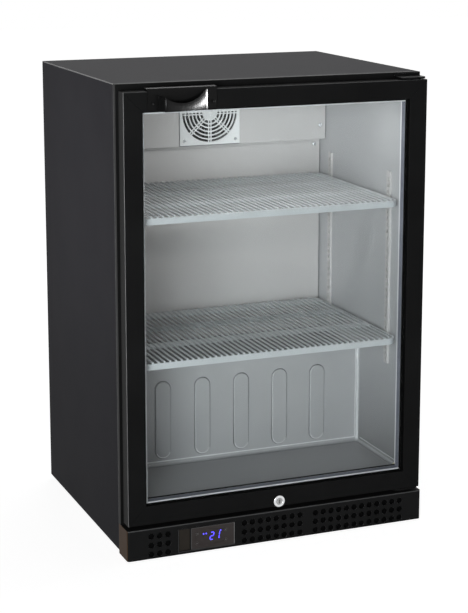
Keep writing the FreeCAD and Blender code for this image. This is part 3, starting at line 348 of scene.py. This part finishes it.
def plinth_paint():
    """Black plinth coat, with a painted highlight along its top front edge and a brown cast on its two
    ends.
    """
    material = surface("black_plinth_coat", 0.012, 0.015, (0.36, 0.44), 9.0, 1100.0, 0.015 * MM,
                       Specular_IOR_Level=0.015)
    tree = material.node_tree
    x, y, z = object_axes(tree)
    low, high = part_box("plinth_grille")
    end = math_node(tree, "GREATER_THAN", math_node(tree, "ABSOLUTE", x), high.x - EDGE_LINE)
    front = math_node(tree, "LESS_THAN", y, low.y + PLINTH_HIGHLIGHT_WIDTH)
    top = math_node(tree, "GREATER_THAN", z, PLINTH_TOP - PLINTH_HIGHLIGHT_WIDTH)
    recolour(material, end, (0.07, 0.043, 0.027))
    # painted highlight: a paler line along the top front edge
    recolour(material, math_node(tree, "MULTIPLY", front, top), 0.08)
    return material


def spacer_metal():
    """Bright spacer metal whose front is darkened nearly to black, but for a line at the left, top and
    bottom.
    """
    material = surface("spacer_aluminium", (0.84, 0.85, 0.86), (0.9, 0.91, 0.92), (0.3, 0.4), 30.0, 900.0,
                       0.006 * MM, Metallic=0.35, Specular_IOR_Level=0.1)
    tree = material.node_tree
    x, y, z = object_axes(tree)
    low, high = spacer_inside()
    low -= Vector((SPACER_LINE, 0, SPACER_LINE))
    high.z += SPACER_LINE
    middle = (low + high) / 2
    half = (high - low) / 2
    near_x = math_node(tree, "COMPARE", x, middle.x, half.x)
    near_z = math_node(tree, "COMPARE", z, middle.z, half.z)
    outside_line = math_node(tree, "SUBTRACT", 1.0, math_node(tree, "MULTIPLY", near_x, near_z))
    front = math_node(tree, "LESS_THAN", y, low.y + EDGE_LINE)
    recolour(material, math_node(tree, "MULTIPLY", front, outside_line), 0.006)
    return material


def liner_steel():
    """Brushed liner sheet, with painted shade on the floor, low on the side walls and at the left of the
    step.
    """
    material = surface("brushed_liner", (0.445, 0.445, 0.45), (0.485, 0.485, 0.49), (0.42, 0.52), 6.0, 1.0,
                       0.01 * MM, stretch=BRUSHING, Metallic=0.2)
    tree = material.node_tree
    across, ahead, up = normal_axes(tree)
    place, _, height = object_axes(tree)
    low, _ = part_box("inner_liner")
    floor = math_node(tree, "MULTIPLY", math_node(tree, "MAXIMUM", up, 0.0), FLOOR_SHADE)
    wall = math_node(tree, "GREATER_THAN", math_node(tree, "ABSOLUTE", across), FACING)
    step = math_node(tree, "LESS_THAN", ahead, -FACING)
    low_wall_shade = map_range(tree, height, low.z, low.z + WALL_FADE, WALL_SHADE, 0.0)
    left_step_shade = map_range(tree, place, low.x, 0.0, *STEP_SHADE)
    # painted shade: upward faces, the side walls low down and the step towards its left are darkened
    recolour(material, floor, SHADE_STEEL)
    recolour(material, math_node(tree, "MULTIPLY", wall, low_wall_shade), SHADE_STEEL)
    recolour(material, math_node(tree, "MULTIPLY", step, left_step_shade), SHADE_STEEL)
    return material


def wire_coat():
    """Pale coated wire, with painted shade on the wires' sides."""
    material = surface("coated_wire", (0.62, 0.64, 0.65), (0.7, 0.72, 0.73), (0.3, 0.4), 14.0, 1200.0,
                       0.012 * MM)
    tree = material.node_tree
    across, _, _ = normal_axes(tree)
    side = map_range(tree, math_node(tree, "ABSOLUTE", across), *WIRE_TURN, 0.0, WIRE_SIDE_SHADE)
    # painted shade: the wires' sides are darkened
    recolour(material, side, (0.14, 0.145, 0.15))
    return material


def lit_material(name, strength, low, high):
    """Glowing plastic with a slightly uneven light."""
    material, tree, shader = new_material(name)
    cloud = noise(tree, 300.0, 2.0)
    tree.links.new(tint(tree, cloud, low, high), shader.inputs["Base Color"])
    tree.links.new(tint(tree, cloud, low, high), shader.inputs["Emission Color"])
    shader.inputs["Emission Strength"].default_value = strength
    shader.inputs["Roughness"].default_value = 0.35
    return material


MATERIALS = {
    "black_paint": surface("black_powder_coat", (0.018, 0.0175, 0.0205), (0.021, 0.0205, 0.0235),
                           (0.38, 0.46), 9.0, 900.0, 0.02 * MM, Specular_IOR_Level=0.005),
    "door_black": door_paint(),
    "plinth_paint": plinth_paint(),
    # paler than the black paint, a painted highlight on rounded edges, and glossier
    "edge": surface("painted_highlight_edge", 0.1, 0.15, (0.25, 0.35), 60.0, 900.0, 0.01 * MM,
                    Specular_IOR_Level=0.5),
    "galvanised": surface("galvanised_sheet", (0.42, 0.43, 0.45), (0.58, 0.59, 0.6), (0.35, 0.5), 40.0,
                          300.0, 0.01 * MM, Metallic=1.0),
    "dark_steel": surface("dark_coated_steel", 0.014, 0.02, (0.45, 0.6), 20.0, 700.0, 0.02 * MM,
                          Specular_IOR_Level=0.05),
    "liner": liner_steel(),
    "stainless": surface("brushed_stainless", (0.535, 0.515, 0.505), (0.58, 0.56, 0.55), (0.42, 0.52), 6.0,
                         1.0, 0.01 * MM, stretch=BRUSHING, Metallic=0.2),
    # pale steel for painted highlights on folds and edges
    "painted_highlight": surface("painted_highlight_steel", 0.8, 0.88, (0.3, 0.4), 30.0, 900.0, 0.01 * MM,
                           Metallic=0.2),
    # dark steel for painted shade in creases, seams and channels
    "painted_shade": surface("painted_shade_steel", 0.1, 0.14, (0.5, 0.6), 60.0, 900.0, 0.01 * MM),
    "foam": surface("rigid_foam", (0.75, 0.66, 0.4), (0.85, 0.77, 0.52), (0.7, 0.9), 30.0, 700.0, 0.1 * MM),
    "black_plastic": surface("matt_black_plastic", 0.006, 0.009, (0.42, 0.55), 12.0, 1500.0, 0.02 * MM,
                             Specular_IOR_Level=0.05),
    # near-black, painted shade seen through the plinth's holes
    "filter": surface("shade_filter_foam", 0.003, 0.006, (0.8, 0.95), 300.0, 1200.0, 0.4 * MM,
                      Specular_IOR_Level=0.01),
    "black_gloss": surface("gloss_black_plastic", 0.003, 0.004, (0.22, 0.27), 15.0, 600.0, 0.004 * MM,
                           Specular_IOR_Level=0.08),
    "bezel": surface("bezel_plastic", 0.011, 0.015, (0.3, 0.38), 15.0, 900.0, 0.006 * MM,
                     Specular_IOR_Level=0.04),
    "rocker": surface("rocker_plastic", (0.028, 0.024, 0.020), (0.034, 0.029, 0.024), (0.35, 0.45), 15.0,
                      900.0, 0.006 * MM, Specular_IOR_Level=0.03),
    "display": surface("display_window", (0.050, 0.042, 0.040), (0.058, 0.050, 0.047), (0.16, 0.22), 40.0,
                       900.0, 0.003 * MM, Specular_IOR_Level=0.06),
    # pale print on the keys, also used as a painted highlight on the display's edge
    "key_mark": surface("key_mark", 0.2, 0.26, (0.35, 0.45), 200.0, 2500.0, 0.005 * MM),
    "housing_edge": surface("housing_edge", 0.045, 0.06, (0.35, 0.45), 60.0, 900.0, 0.005 * MM,
                            Specular_IOR_Level=0.05),
    "lit_blue": lit_material("lit_digits", 2.4, (0.06, 0.045, 0.95), (0.10, 0.08, 1.0)),
    "rubber": surface("black_rubber", 0.008, 0.012, (0.55, 0.7), 20.0, 1800.0, 0.02 * MM,
                      Specular_IOR_Level=0.1),
    "glass": glass_material(),
    "aluminium": surface("plain_aluminium", (0.6, 0.61, 0.62), (0.7, 0.71, 0.72), (0.3, 0.42), 30.0, 1.0,
                         0.008 * MM, stretch=(500, 500, 20), Metallic=1.0),
    "spacer": spacer_metal(),
    "spacer_strip": surface("perforated_strip", (0.15, 0.16, 0.2), (0.2, 0.21, 0.26), (0.4, 0.5), 60.0,
                            900.0, 0.008 * MM, Metallic=0.3),
    "coated_wire": wire_coat(),
    "guard_wire": surface("guard_enamel", (0.8, 0.8, 0.79), (0.86, 0.86, 0.85), (0.35, 0.45), 40.0, 1200.0,
                          0.01 * MM),
    "fan_plastic": surface("fan_plastic", 0.05, 0.065, (0.5, 0.6), 30.0, 1200.0, 0.02 * MM),
    "chrome": surface("polished_chrome", (0.62, 0.63, 0.64), (0.74, 0.75, 0.76), (0.12, 0.2), 60.0, 800.0,
                      0.002 * MM, Metallic=1.0),
    "plug_metal": surface("dull_plug_metal", 0.3, 0.42, (0.25, 0.35), 200.0, 900.0, 0.004 * MM,
                          Metallic=1.0),
    "steel": surface("plain_steel", (0.45, 0.46, 0.47), (0.55, 0.56, 0.57), (0.28, 0.4), 120.0, 900.0,
                     0.01 * MM, Metallic=1.0),
    "screw_head": surface("bright_screw_head", (0.68, 0.69, 0.7), (0.76, 0.77, 0.78), (0.2, 0.3), 200.0,
                          900.0, 0.004 * MM, Metallic=1.0),
    # painted shade in the screws' cross recesses
    "screw_recess_shade": surface("screw_recess_shade", 0.12, 0.16, (0.5, 0.7), 200.0, 1500.0, 0.01 * MM),
    "lamp": lit_material("lamp_diffuser", 1.0, (0.92, 0.95, 1.0), (0.97, 0.98, 1.0)),
    "foot_black": surface("foot_plastic", 0.012, 0.018, (0.45, 0.6), 30.0, 1200.0, 0.02 * MM),
    # painted shade in small holes and recesses
    "recess_shade": surface("recess_shade", 0.01, 0.02, (0.5, 0.7), 200.0, 1500.0, 0.01 * MM),
}

# Nodes whose finish differs from their material slot's
SPECIAL = {"plinth_grille": "plinth_paint", "fan_guard": "guard_wire", "controller_bezel": "bezel",
           "rocker_switch": "rocker", "cabinet_screws": "screw_head", "handle_screws": "black_gloss",
           "inner_liner": "liner", "glass_spacer": "spacer", "lock_plug": "plug_metal",
           "base_pan": "dark_steel", "bay_panel": "dark_steel", "condenser_fan_shroud": "dark_steel",
           "top_hinge_bracket": "door_black", "bottom_hinge_bracket": "door_black",
           "evaporator_fan_frame": "fan_plastic", "evaporator_fan_blade": "fan_plastic"}
SPECIAL.update({"button_%d" % i: "display" for i in range(1, KEY_COUNT + 1)})

# Edge rounding in millimetres for the nodes whose edges catch the light
BEVELS = {"side_panel_left": 0.6, "side_panel_right": 0.6, "top_panel": 0.6, "front_frame": 0.6,
          "door_rail_top": 0.8, "door_rail_bottom": 0.8, "door_stile_left": 0.8, "door_stile_right": 0.8,
          "door_handle": 1.2, "plinth_grille": 0.8, "controller_bezel": 0.5, "display_lens": 0.4,
          "rocker_switch": 0.5, "top_hinge_bracket": 0.4, "bottom_hinge_bracket": 0.4,
          "duct_panel": 0.3, "evaporator_cover": 0.4, "glass_spacer": 0.3, "power_inlet": 0.5,
          "rear_vent_cover": 0.25, "shelf_clips": 0.4, "shelf_strips": 0.3, "cabinet_screws": 0.9,
          "handle_screws": 0.6, "lock_barrel": 0.8, "lock_plug": 0.4}

# Nodes whose rounded edges are paler than their faces, a painted highlight, and glossier
HIGHLIGHT_EDGES = ("side_panel_left", "side_panel_right", "top_panel", "door_handle", "plinth_grille",
                "controller_bezel", "display_lens", "top_hinge_bracket", "bottom_hinge_bracket")


def dress_nodes():
    """Gives every carried-over node its material, and rounded edges to the nodes listed in BEVELS."""
    slots = {row["node"]: row["material_slot"] for row in frame["record"]["subparts"]}
    for name, obj in nodes.items():
        obj.data.materials.clear()
        obj.data.materials.append(MATERIALS[SPECIAL.get(name, slots[name])])
        if name in BEVELS:
            weld = obj.modifiers.new("weld", "WELD")
            weld.merge_threshold = WELD_DISTANCE
            rounding = obj.modifiers.new("round_edges", "BEVEL")
            rounding.width = BEVELS[name] * MM
            rounding.segments = BEVEL_SEGMENTS
            rounding.limit_method = "ANGLE"
            rounding.angle_limit = math.radians(BEVEL_ANGLE)
            rounding.harden_normals = True
            if name in HIGHLIGHT_EDGES:
                # the rounded edges get the painted highlight material
                obj.data.materials.append(MATERIALS["edge"])
                rounding.material = 1


# Detail pieces

def piece(name, mesh, material, body):
    """New object that rides on a body."""
    obj = bpy.data.objects.new(name, mesh)
    bpy.context.scene.collection.objects.link(obj)
    mesh.materials.append(MATERIALS[material])
    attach(obj, body)
    return obj


def mesh_from(name, build):
    """Mesh filled by a function that works on a bmesh."""
    mesh = bpy.data.meshes.new(name)
    work = bmesh.new()
    build(work)
    work.to_mesh(mesh)
    work.free()
    return mesh


def disc(work, centre, normal, radius, sides=8):
    """Small flat disc that faces along a direction."""
    turn = Vector((0, 0, 1)).rotation_difference(normal).to_matrix().to_4x4()
    bmesh.ops.create_circle(work, cap_ends=True, segments=sides, radius=radius,
                            matrix=Matrix.Translation(centre) @ turn)


def spacer_strips():
    """Dark perforated strip along the inner faces of the glazing spacer."""
    low, high = spacer_inside()
    front, back = low.y + STRIP_MARGIN, high.y - STRIP_MARGIN

    def build(work):
        for x, sign in ((low.x, 1), (high.x, -1)):
            corners = [(front, low.z), (back, low.z), (back, high.z), (front, high.z)]
            work.faces.new([work.verts.new((x + sign * LIFT, y, z)) for y, z in corners[::sign]])
        for z, sign in ((low.z, 1), (high.z, -1)):
            corners = [(low.x, front), (high.x, front), (high.x, back), (low.x, back)]
            work.faces.new([work.verts.new((x, y, z + sign * LIFT)) for x, y in corners[::sign]])

    piece("spacer_strips", mesh_from("spacer_strips", build), "spacer_strip", "door")


def spacer_perforation():
    """Rows of small holes along the strips, drawn as dark discs of painted shade."""
    low, high = spacer_inside()
    middle = (low.y + high.y) / 2
    lift = 2 * LIFT

    def build(work):
        for row in PERFORATION_ROWS:
            y = middle + row
            for i in range(int((high.z - low.z) / PERFORATION_PITCH)):
                z = low.z + (i + 0.5) * PERFORATION_PITCH
                disc(work, Vector((low.x + lift, y, z)), Vector((1, 0, 0)), PERFORATION_SIZE / 2)
                disc(work, Vector((high.x - lift, y, z)), Vector((-1, 0, 0)), PERFORATION_SIZE / 2)
            for i in range(int((high.x - low.x) / PERFORATION_PITCH)):
                x = low.x + (i + 0.5) * PERFORATION_PITCH
                disc(work, Vector((x, y, low.z + lift)), Vector((0, 0, 1)), PERFORATION_SIZE / 2)
                disc(work, Vector((x, y, high.z - lift)), Vector((0, 0, -1)), PERFORATION_SIZE / 2)

    piece("spacer_perforation", mesh_from("spacer_perforation", build), "recess_shade", "door")


def islands(name):
    """Lowest and highest corner of each separate solid in a node."""
    work = bmesh.new()
    work.from_mesh(nodes[name].data)
    bmesh.ops.remove_doubles(work, verts=work.verts, dist=WELD_DISTANCE)
    seen = set()
    found = []
    for start in work.verts:
        if start in seen:
            continue
        group = [start]
        seen.add(start)
        for vert in group:
            for edge in vert.link_edges:
                other = edge.other_vert(vert)
                if other not in seen:
                    seen.add(other)
                    group.append(other)
        places = [vert.co.copy() for vert in group]
        low = Vector([min(p[k] for p in places) for k in range(3)])
        high = Vector([max(p[k] for p in places) for k in range(3)])
        found.append((low, high))
    work.free()
    return found


def screw_crosses(node, body, material):
    """Painted shade of cross recesses on a node's screw heads, which face the front or the back."""
    middle = (cad_box[0].y + cad_box[1].y) / 2

    def build(work):
        for low, high in islands(node):
            centre = (low + high) / 2
            radius = (high.x - low.x) / 2
            rear = centre.y > middle + REAR_MARGIN
            y = high.y + LIFT if rear else low.y - LIFT
            for size in ((CROSS_LENGTH, CROSS_WIDTH), (CROSS_WIDTH, CROSS_LENGTH)):
                w, h = radius * size[0], radius * size[1]
                corners = [(-w, -h), (w, -h), (w, h), (-w, h)]
                if rear:
                    corners.reverse()
                work.faces.new([work.verts.new((centre.x + x, y, centre.z + z)) for x, z in corners])

    piece(node + "_recess", mesh_from(node + "_recess", build), material, body)


def ribbon(work, start, end, normal, width, height):
    """Slightly raised strip along a line on a surface, with sloping sides."""
    along = (end - start).normalized()
    side = normal.cross(along)
    section = [(-width / 2, 0), (-width / 4, height), (width / 4, height), (width / 2, 0)]
    rows = []
    for point in (start, end):
        rows.append([work.verts.new(point + side * s + normal * (h + LIFT)) for s, h in section])
    for i in range(len(section) - 1):
        work.faces.new((rows[0][i], rows[0][i + 1], rows[1][i + 1], rows[1][i]))
    work.faces.new(rows[0][::-1])
    work.faces.new(rows[1])


def liner_place():
    """Front edge, half width and floor height inside the liner."""
    low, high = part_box("inner_liner")
    return low.y, high.x - LINER_SHEET, low.z + LINER_SHEET


def liner_creases():
    """Painted highlights along the folds and painted shade in the creases where the liner's floor and step
    meet its walls.
    """
    front, side, floor = liner_place()
    step = front + STEP_FRONT
    top = floor + STEP_TOP - FLOOR_LEVEL
    up, ahead = Vector((0, 0, 1)), Vector((0, -1, 0))

    def bright(work):
        across = side - COVE
        ribbon(work, Vector((across, step, floor + COVE)), Vector((-across, step, floor + COVE)), ahead,
               BEAD_WIDTH, BEAD_HEIGHT)
        for sign in (-1, 1):
            inward = Vector((-sign, 0, 0))
            corner = Vector((sign * across, step, floor + COVE))
            ribbon(work, corner, Vector((sign * across, step, top)), ahead, CREASE_WIDTH, BEAD_HEIGHT)
            ribbon(work, Vector((sign * side, front, floor + COVE)),
                   Vector((sign * side, step - COVE, floor + COVE)), inward, CREASE_WIDTH, BEAD_HEIGHT / 2)

    def dark(work):
        across = side - COVE
        ribbon(work, Vector((across, step - COVE, floor)), Vector((-across, step - COVE, floor)), up,
               BEAD_WIDTH, BEAD_HEIGHT / 2)
        for x in (-across, across):
            ribbon(work, Vector((x, front, floor)), Vector((x, step - COVE, floor)), up, CREASE_WIDTH,
                   BEAD_HEIGHT / 2)

    piece("liner_fold_highlights", mesh_from("liner_fold_highlights", bright), "painted_highlight", "cabinet")
    piece("liner_crease_shade", mesh_from("liner_crease_shade", dark), "painted_shade", "cabinet")


def stadium(x, bottom, top, radius, first=0, last=360, step=15):
    """Points of an upright slot shape between two angles, seen from the front."""
    points = []
    for angle in range(first, last + 1, step):
        turn = math.radians(angle)
        z = top - PILL_RADIUS if angle < 180 else bottom + PILL_RADIUS
        points.append((x + radius * math.cos(turn), z + radius * math.sin(turn)))
    return points


def band(work, outer, inner, y, closed):
    """Flat band between two rows of points, facing the front."""
    rows = [[work.verts.new((x, y, z)) for x, z in row] for row in (outer, inner)]
    count = len(outer)
    for i in range(count if closed else count - 1):
        j = (i + 1) % count
        work.faces.new((rows[0][i], rows[0][j], rows[1][j], rows[1][i]))


def pill_outlines():
    """Painted shade round the foot of each raised panel of the step, with a painted highlight along its
    lower edge.
    """
    front, _, floor = liner_place()
    face = front + STEP_FRONT - LIFT
    bottom = floor + PILL_BOTTOM_GAP
    top = floor + STEP_TOP - FLOOR_LEVEL - PILL_TOP_GAP
    centres = [PILL_CENTRE + (i - (PILL_COUNT - 1) / 2) * PILL_PITCH for i in range(PILL_COUNT)]

    def dark(work):
        for x in centres:
            band(work, stadium(x, bottom, top, PILL_RADIUS + CREASE_WIDTH, last=345),
                 stadium(x, bottom, top, PILL_RADIUS, last=345), face, True)

    def bright(work):
        for x in centres:
            radius = PILL_RADIUS - 2 * CREASE_WIDTH
            band(work, stadium(x, bottom, top, radius + CREASE_WIDTH, 195, 345),
                 stadium(x, bottom, top, radius, 195, 345), face - PILL_RELIEF, False)

    piece("pill_shade_lines", mesh_from("pill_shade_lines", dark), "painted_shade", "cabinet")
    piece("pill_fold_highlights", mesh_from("pill_fold_highlights", bright), "painted_highlight", "cabinet")


def liner_trim():
    """Pale strips, a painted highlight, that carry the liner's side walls forward over the front frame."""
    low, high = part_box("front_frame")
    _, side, floor = liner_place()
    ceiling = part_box("inner_liner")[1].z - LINER_SHEET

    def build(work):
        for sign in (-1, 1):
            x = sign * (side - LIFT)
            corners = [(low.y, floor), (high.y, floor), (high.y, ceiling), (low.y, ceiling)]
            work.faces.new([work.verts.new((x, y, z)) for y, z in corners[::-sign]])

    piece("liner_trim", mesh_from("liner_trim", build), "painted_highlight", "cabinet")


def guard_shadow_line():
    """Painted shadow along the left and lower edges of the fan guard's plate."""
    low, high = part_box("fan_guard")
    corner = Vector((low.x - GUARD_SHADOW_WIDTH / 2, high.y, low.z - GUARD_SHADOW_WIDTH / 2))
    upper = Vector((corner.x, high.y, high.z))
    right = Vector((high.x, high.y, corner.z))
    ahead = Vector((0, -1, 0))

    def build(work):
        ribbon(work, corner, upper, ahead, GUARD_SHADOW_WIDTH, LIFT)
        ribbon(work, right, corner, ahead, GUARD_SHADOW_WIDTH, LIFT)

    piece("guard_shadow_line", mesh_from("guard_shadow_line", build), "painted_shade", "cabinet")


def key_marks():
    """Small pale dot on each key."""
    for i in range(1, KEY_COUNT + 1):
        low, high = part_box("button_%d" % i)
        place = Vector(((low.x + high.x) / 2, low.y - LIFT, (low.z + high.z) / 2))
        mesh = mesh_from("key_mark_%d" % i,
                         lambda work: disc(work, place, Vector((0, -1, 0)), KEY_MARK_RADIUS, 12))
        piece("key_mark_%d" % i, mesh, "key_mark", "key_%d" % i)


def display_trim():
    """Painted highlights on the edges: a bright line up the display's right edge, dull ones under it and at
    the housing's left and bottom.
    """
    low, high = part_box("display_lens")
    outer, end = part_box("controller_bezel")
    ahead = Vector((0, -1, 0))

    def bright(work):
        x = high.x - TRIM_WIDTH / 2
        ribbon(work, Vector((x, low.y, low.z)), Vector((x, low.y, high.z)), ahead, TRIM_WIDTH, LIFT)

    def dull(work):
        z = low.z + TRIM_WIDTH / 2
        ribbon(work, Vector((high.x, low.y, z)), Vector((low.x, low.y, z)), ahead, TRIM_WIDTH, LIFT)
        corner = Vector((outer.x + TRIM_WIDTH, outer.y, outer.z + TRIM_WIDTH))
        upper = Vector((corner.x, outer.y, end.z - TRIM_WIDTH))
        right = Vector((end.x - TRIM_WIDTH, outer.y, corner.z))
        ribbon(work, corner, upper, ahead, TRIM_WIDTH, LIFT)
        ribbon(work, right, corner, ahead, TRIM_WIDTH, LIFT)

    piece("display_edge", mesh_from("display_edge", bright), "key_mark", "cabinet")
    piece("housing_edge", mesh_from("housing_edge", dull), "housing_edge", "cabinet")


def strip_shadows():
    """Dark channel behind the slots of the shelf strips."""
    def build(work):
        for low, high in islands("shelf_strips"):
            sign = 1 if low.x > 0 else -1
            x = (high.x if sign > 0 else low.x) - sign * LIFT
            front, back = low.y + STRIP_SHEET, high.y - STRIP_SHEET
            corners = [(front, low.z), (back, low.z), (back, high.z), (front, high.z)]
            work.faces.new([work.verts.new((x, y, z)) for y, z in corners[::-sign]])

    piece("strip_shadows", mesh_from("strip_shadows", build), "painted_shade", "cabinet")


def plinth_shade_mats():
    """Filter mats behind the plinth's holes, on both sides of the controller, near-black as painted shade
    in the holes.
    """
    low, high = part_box("plinth_grille")
    left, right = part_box("controller_bezel")
    front = low.y + FILTER_SETBACK
    ends = [(low.x + FILTER_GAP, left.x - FILTER_GAP), (right.x + FILTER_GAP, high.x - FILTER_GAP)]
    bottom, top = left.z - FILTER_GAP, right.z + FILTER_GAP / 2

    def build(work):
        for x0, x1 in ends:
            made = bmesh.ops.create_cube(work, size=1.0)
            for vert in made["verts"]:
                vert.co.x = x0 if vert.co.x < 0 else x1
                vert.co.y = front if vert.co.y < 0 else front + FILTER_THICKNESS
                vert.co.z = bottom if vert.co.z < 0 else top

    piece("plinth_shade_mats", mesh_from("plinth_shade_mats", build), "filter", "cabinet")


# Floor, light and camera

def seen_rays(tree):
    """One for the rays that show the background itself, in the picture, in metal or through glass."""
    path = add(tree, "ShaderNodeLightPath")
    first = math_node(tree, "MAXIMUM", path.outputs["Is Camera Ray"], path.outputs["Is Glossy Ray"])
    return math_node(tree, "MAXIMUM", first, path.outputs["Is Transmission Ray"])


def make_world():
    """Even pale surroundings that look white."""
    world = bpy.data.worlds.new("studio")
    bpy.context.scene.world = world
    world.use_nodes = True
    tree = world.node_tree
    ambient = tree.nodes["Background"]
    ambient.inputs["Color"].default_value = AMBIENT_COLOUR
    ambient.inputs["Strength"].default_value = AMBIENT
    white = add(tree, "ShaderNodeBackground", {"Color": (1, 1, 1, 1), "Strength": 1.0})
    mix = add(tree, "ShaderNodeMixShader")
    tree.links.new(seen_rays(tree), mix.inputs["Fac"])
    tree.links.new(ambient.outputs[0], mix.inputs[1])
    tree.links.new(white.outputs[0], mix.inputs[2])
    tree.links.new(mix.outputs[0], tree.nodes["World Output"].inputs["Surface"])


def floor_glow(tree):
    """Glow of the floor: none under the object, a little short of white near it and white far away."""
    x, y, _ = object_axes(tree)
    low, high = cad_box
    middle = (low + high) / 2
    half = (high - low) / 2
    across = math_node(tree, "COMPARE", x, middle.x, half.x - FOOTPRINT_MARGIN)
    along = math_node(tree, "COMPARE", y, middle.y, half.y - FOOTPRINT_MARGIN)
    under = math_node(tree, "MULTIPLY", across, along)
    squares = math_node(tree, "ADD", math_node(tree, "POWER", x, 2.0), math_node(tree, "POWER", y, 2.0))
    glow = map_range(tree, math_node(tree, "SQRT", squares), FLOOR_NEAR, FLOOR_FAR, FLOOR_GLOW, 1.0)
    return math_node(tree, "MULTIPLY", glow, math_node(tree, "SUBTRACT", 1.0, under))


def make_floor():
    """Plain pale floor that looks white and keeps a soft shadow."""
    mesh = bpy.data.meshes.new("floor")
    size = FLOOR_SIZE
    corners = [(-size, -size, 0), (size, -size, 0), (size, size, 0), (-size, size, 0)]
    mesh.from_pydata(corners, [], [(0, 1, 2, 3)])
    obj = bpy.data.objects.new("floor", mesh)
    bpy.context.scene.collection.objects.link(obj)
    material, tree, shader = new_material("pale_floor")
    cloud = noise(tree, 2.0, 2.0)
    tree.links.new(tint(tree, cloud, 0.78, 0.8), shader.inputs["Base Color"])
    shader.inputs["Roughness"].default_value = 1.0
    shader.inputs["Specular IOR Level"].default_value = 0.0
    shadow = add(tree, "ShaderNodeBsdfDiffuse", {"Color": rgb(FLOOR_SHADOW)})
    glow = add(tree, "ShaderNodeEmission", {"Color": (1, 1, 1, 1)})
    tree.links.new(floor_glow(tree), glow.inputs["Strength"])
    white = add(tree, "ShaderNodeAddShader")
    mix = add(tree, "ShaderNodeMixShader")
    tree.links.new(shadow.outputs[0], white.inputs[0])
    tree.links.new(glow.outputs[0], white.inputs[1])
    tree.links.new(seen_rays(tree), mix.inputs["Fac"])
    tree.links.new(shader.outputs[0], mix.inputs[1])
    tree.links.new(white.outputs[0], mix.inputs[2])
    tree.links.new(mix.outputs[0], tree.nodes["Material Output"].inputs["Surface"])
    mesh.materials.append(material)


def area_light(name, place, target, size, power):
    """Soft square lamp aimed at a point."""
    lamp = bpy.data.lights.new(name, "AREA")
    lamp.size = size
    lamp.energy = power
    obj = bpy.data.objects.new(name, lamp)
    bpy.context.scene.collection.objects.link(obj)
    obj.location = place
    obj.rotation_euler = (Vector(target) - Vector(place)).to_track_quat("-Z", "Y").to_euler()
    return obj


def make_lights():
    """Soft lamps at the front left, the side, above, behind and inside, and one for the handle's gloss."""
    key = area_light("key", KEY_PLACE, KEY_AIM, KEY_SIZE, KEY_POWER)
    key.data.color = KEY_COLOUR
    key.data.spread = math.radians(KEY_SPREAD)
    side = area_light("side", SIDE_PLACE, SIDE_AIM, SIDE_SIZE, SIDE_POWER)
    side.data.spread = math.radians(SIDE_SPREAD)
    area_light("overhead", OVERHEAD_PLACE, OBJECT_MIDDLE, OVERHEAD_SIZE, OVERHEAD_POWER)
    area_light("back", BACK_PLACE, OBJECT_MIDDLE, BACK_SIZE, BACK_POWER)
    gloss = area_light("gloss", GLOSS_PLACE, GLOSS_AIM, GLOSS_SIZE, GLOSS_POWER)
    gloss.data.spread = math.radians(GLOSS_SPREAD)
    gloss.visible_diffuse = False
    gloss.visible_camera = False
    lit = bpy.data.collections.new("handle_gloss")
    for name in ("door_handle", "handle_screws"):
        lit.objects.link(nodes[name])
    gloss.light_linking.receiver_collection = lit
    low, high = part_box("interior_lamp")
    place = (0, (low.y + high.y) / 2, low.z - INSIDE_GAP)
    inside = area_light("inside", place, (0, high.y + INSIDE_LEAD, 0), high.x - low.x, INSIDE_POWER)
    inside.data.shape = "RECTANGLE"
    inside.data.size_y = high.y - low.y


def make_camera():
    """Camera at the photograph's viewing angle."""
    data = bpy.data.cameras.new("camera")
    data.sensor_width = SENSOR
    data.lens = FOCAL_PIXELS / IMAGE_HEIGHT * SENSOR
    data.shift_y = CAMERA_SHIFT
    obj = bpy.data.objects.new("camera", data)
    bpy.context.scene.collection.objects.link(obj)
    obj.location = CAMERA_PLACE
    obj.rotation_euler = (math.radians(90 - CAMERA_PITCH), 0, math.radians(-CAMERA_YAW))
    bpy.context.scene.camera = obj


dress_nodes()
spacer_strips()
spacer_perforation()
liner_creases()
pill_outlines()
liner_trim()
guard_shadow_line()
key_marks()
display_trim()
strip_shadows()
plinth_shade_mats()
screw_crosses("cabinet_screws", "cabinet", "screw_recess_shade")
screw_crosses("handle_screws", "door", "recess_shade")
make_world()
make_floor()
make_lights()
make_camera()
bpy.context.scene.view_settings.view_transform = "Standard"
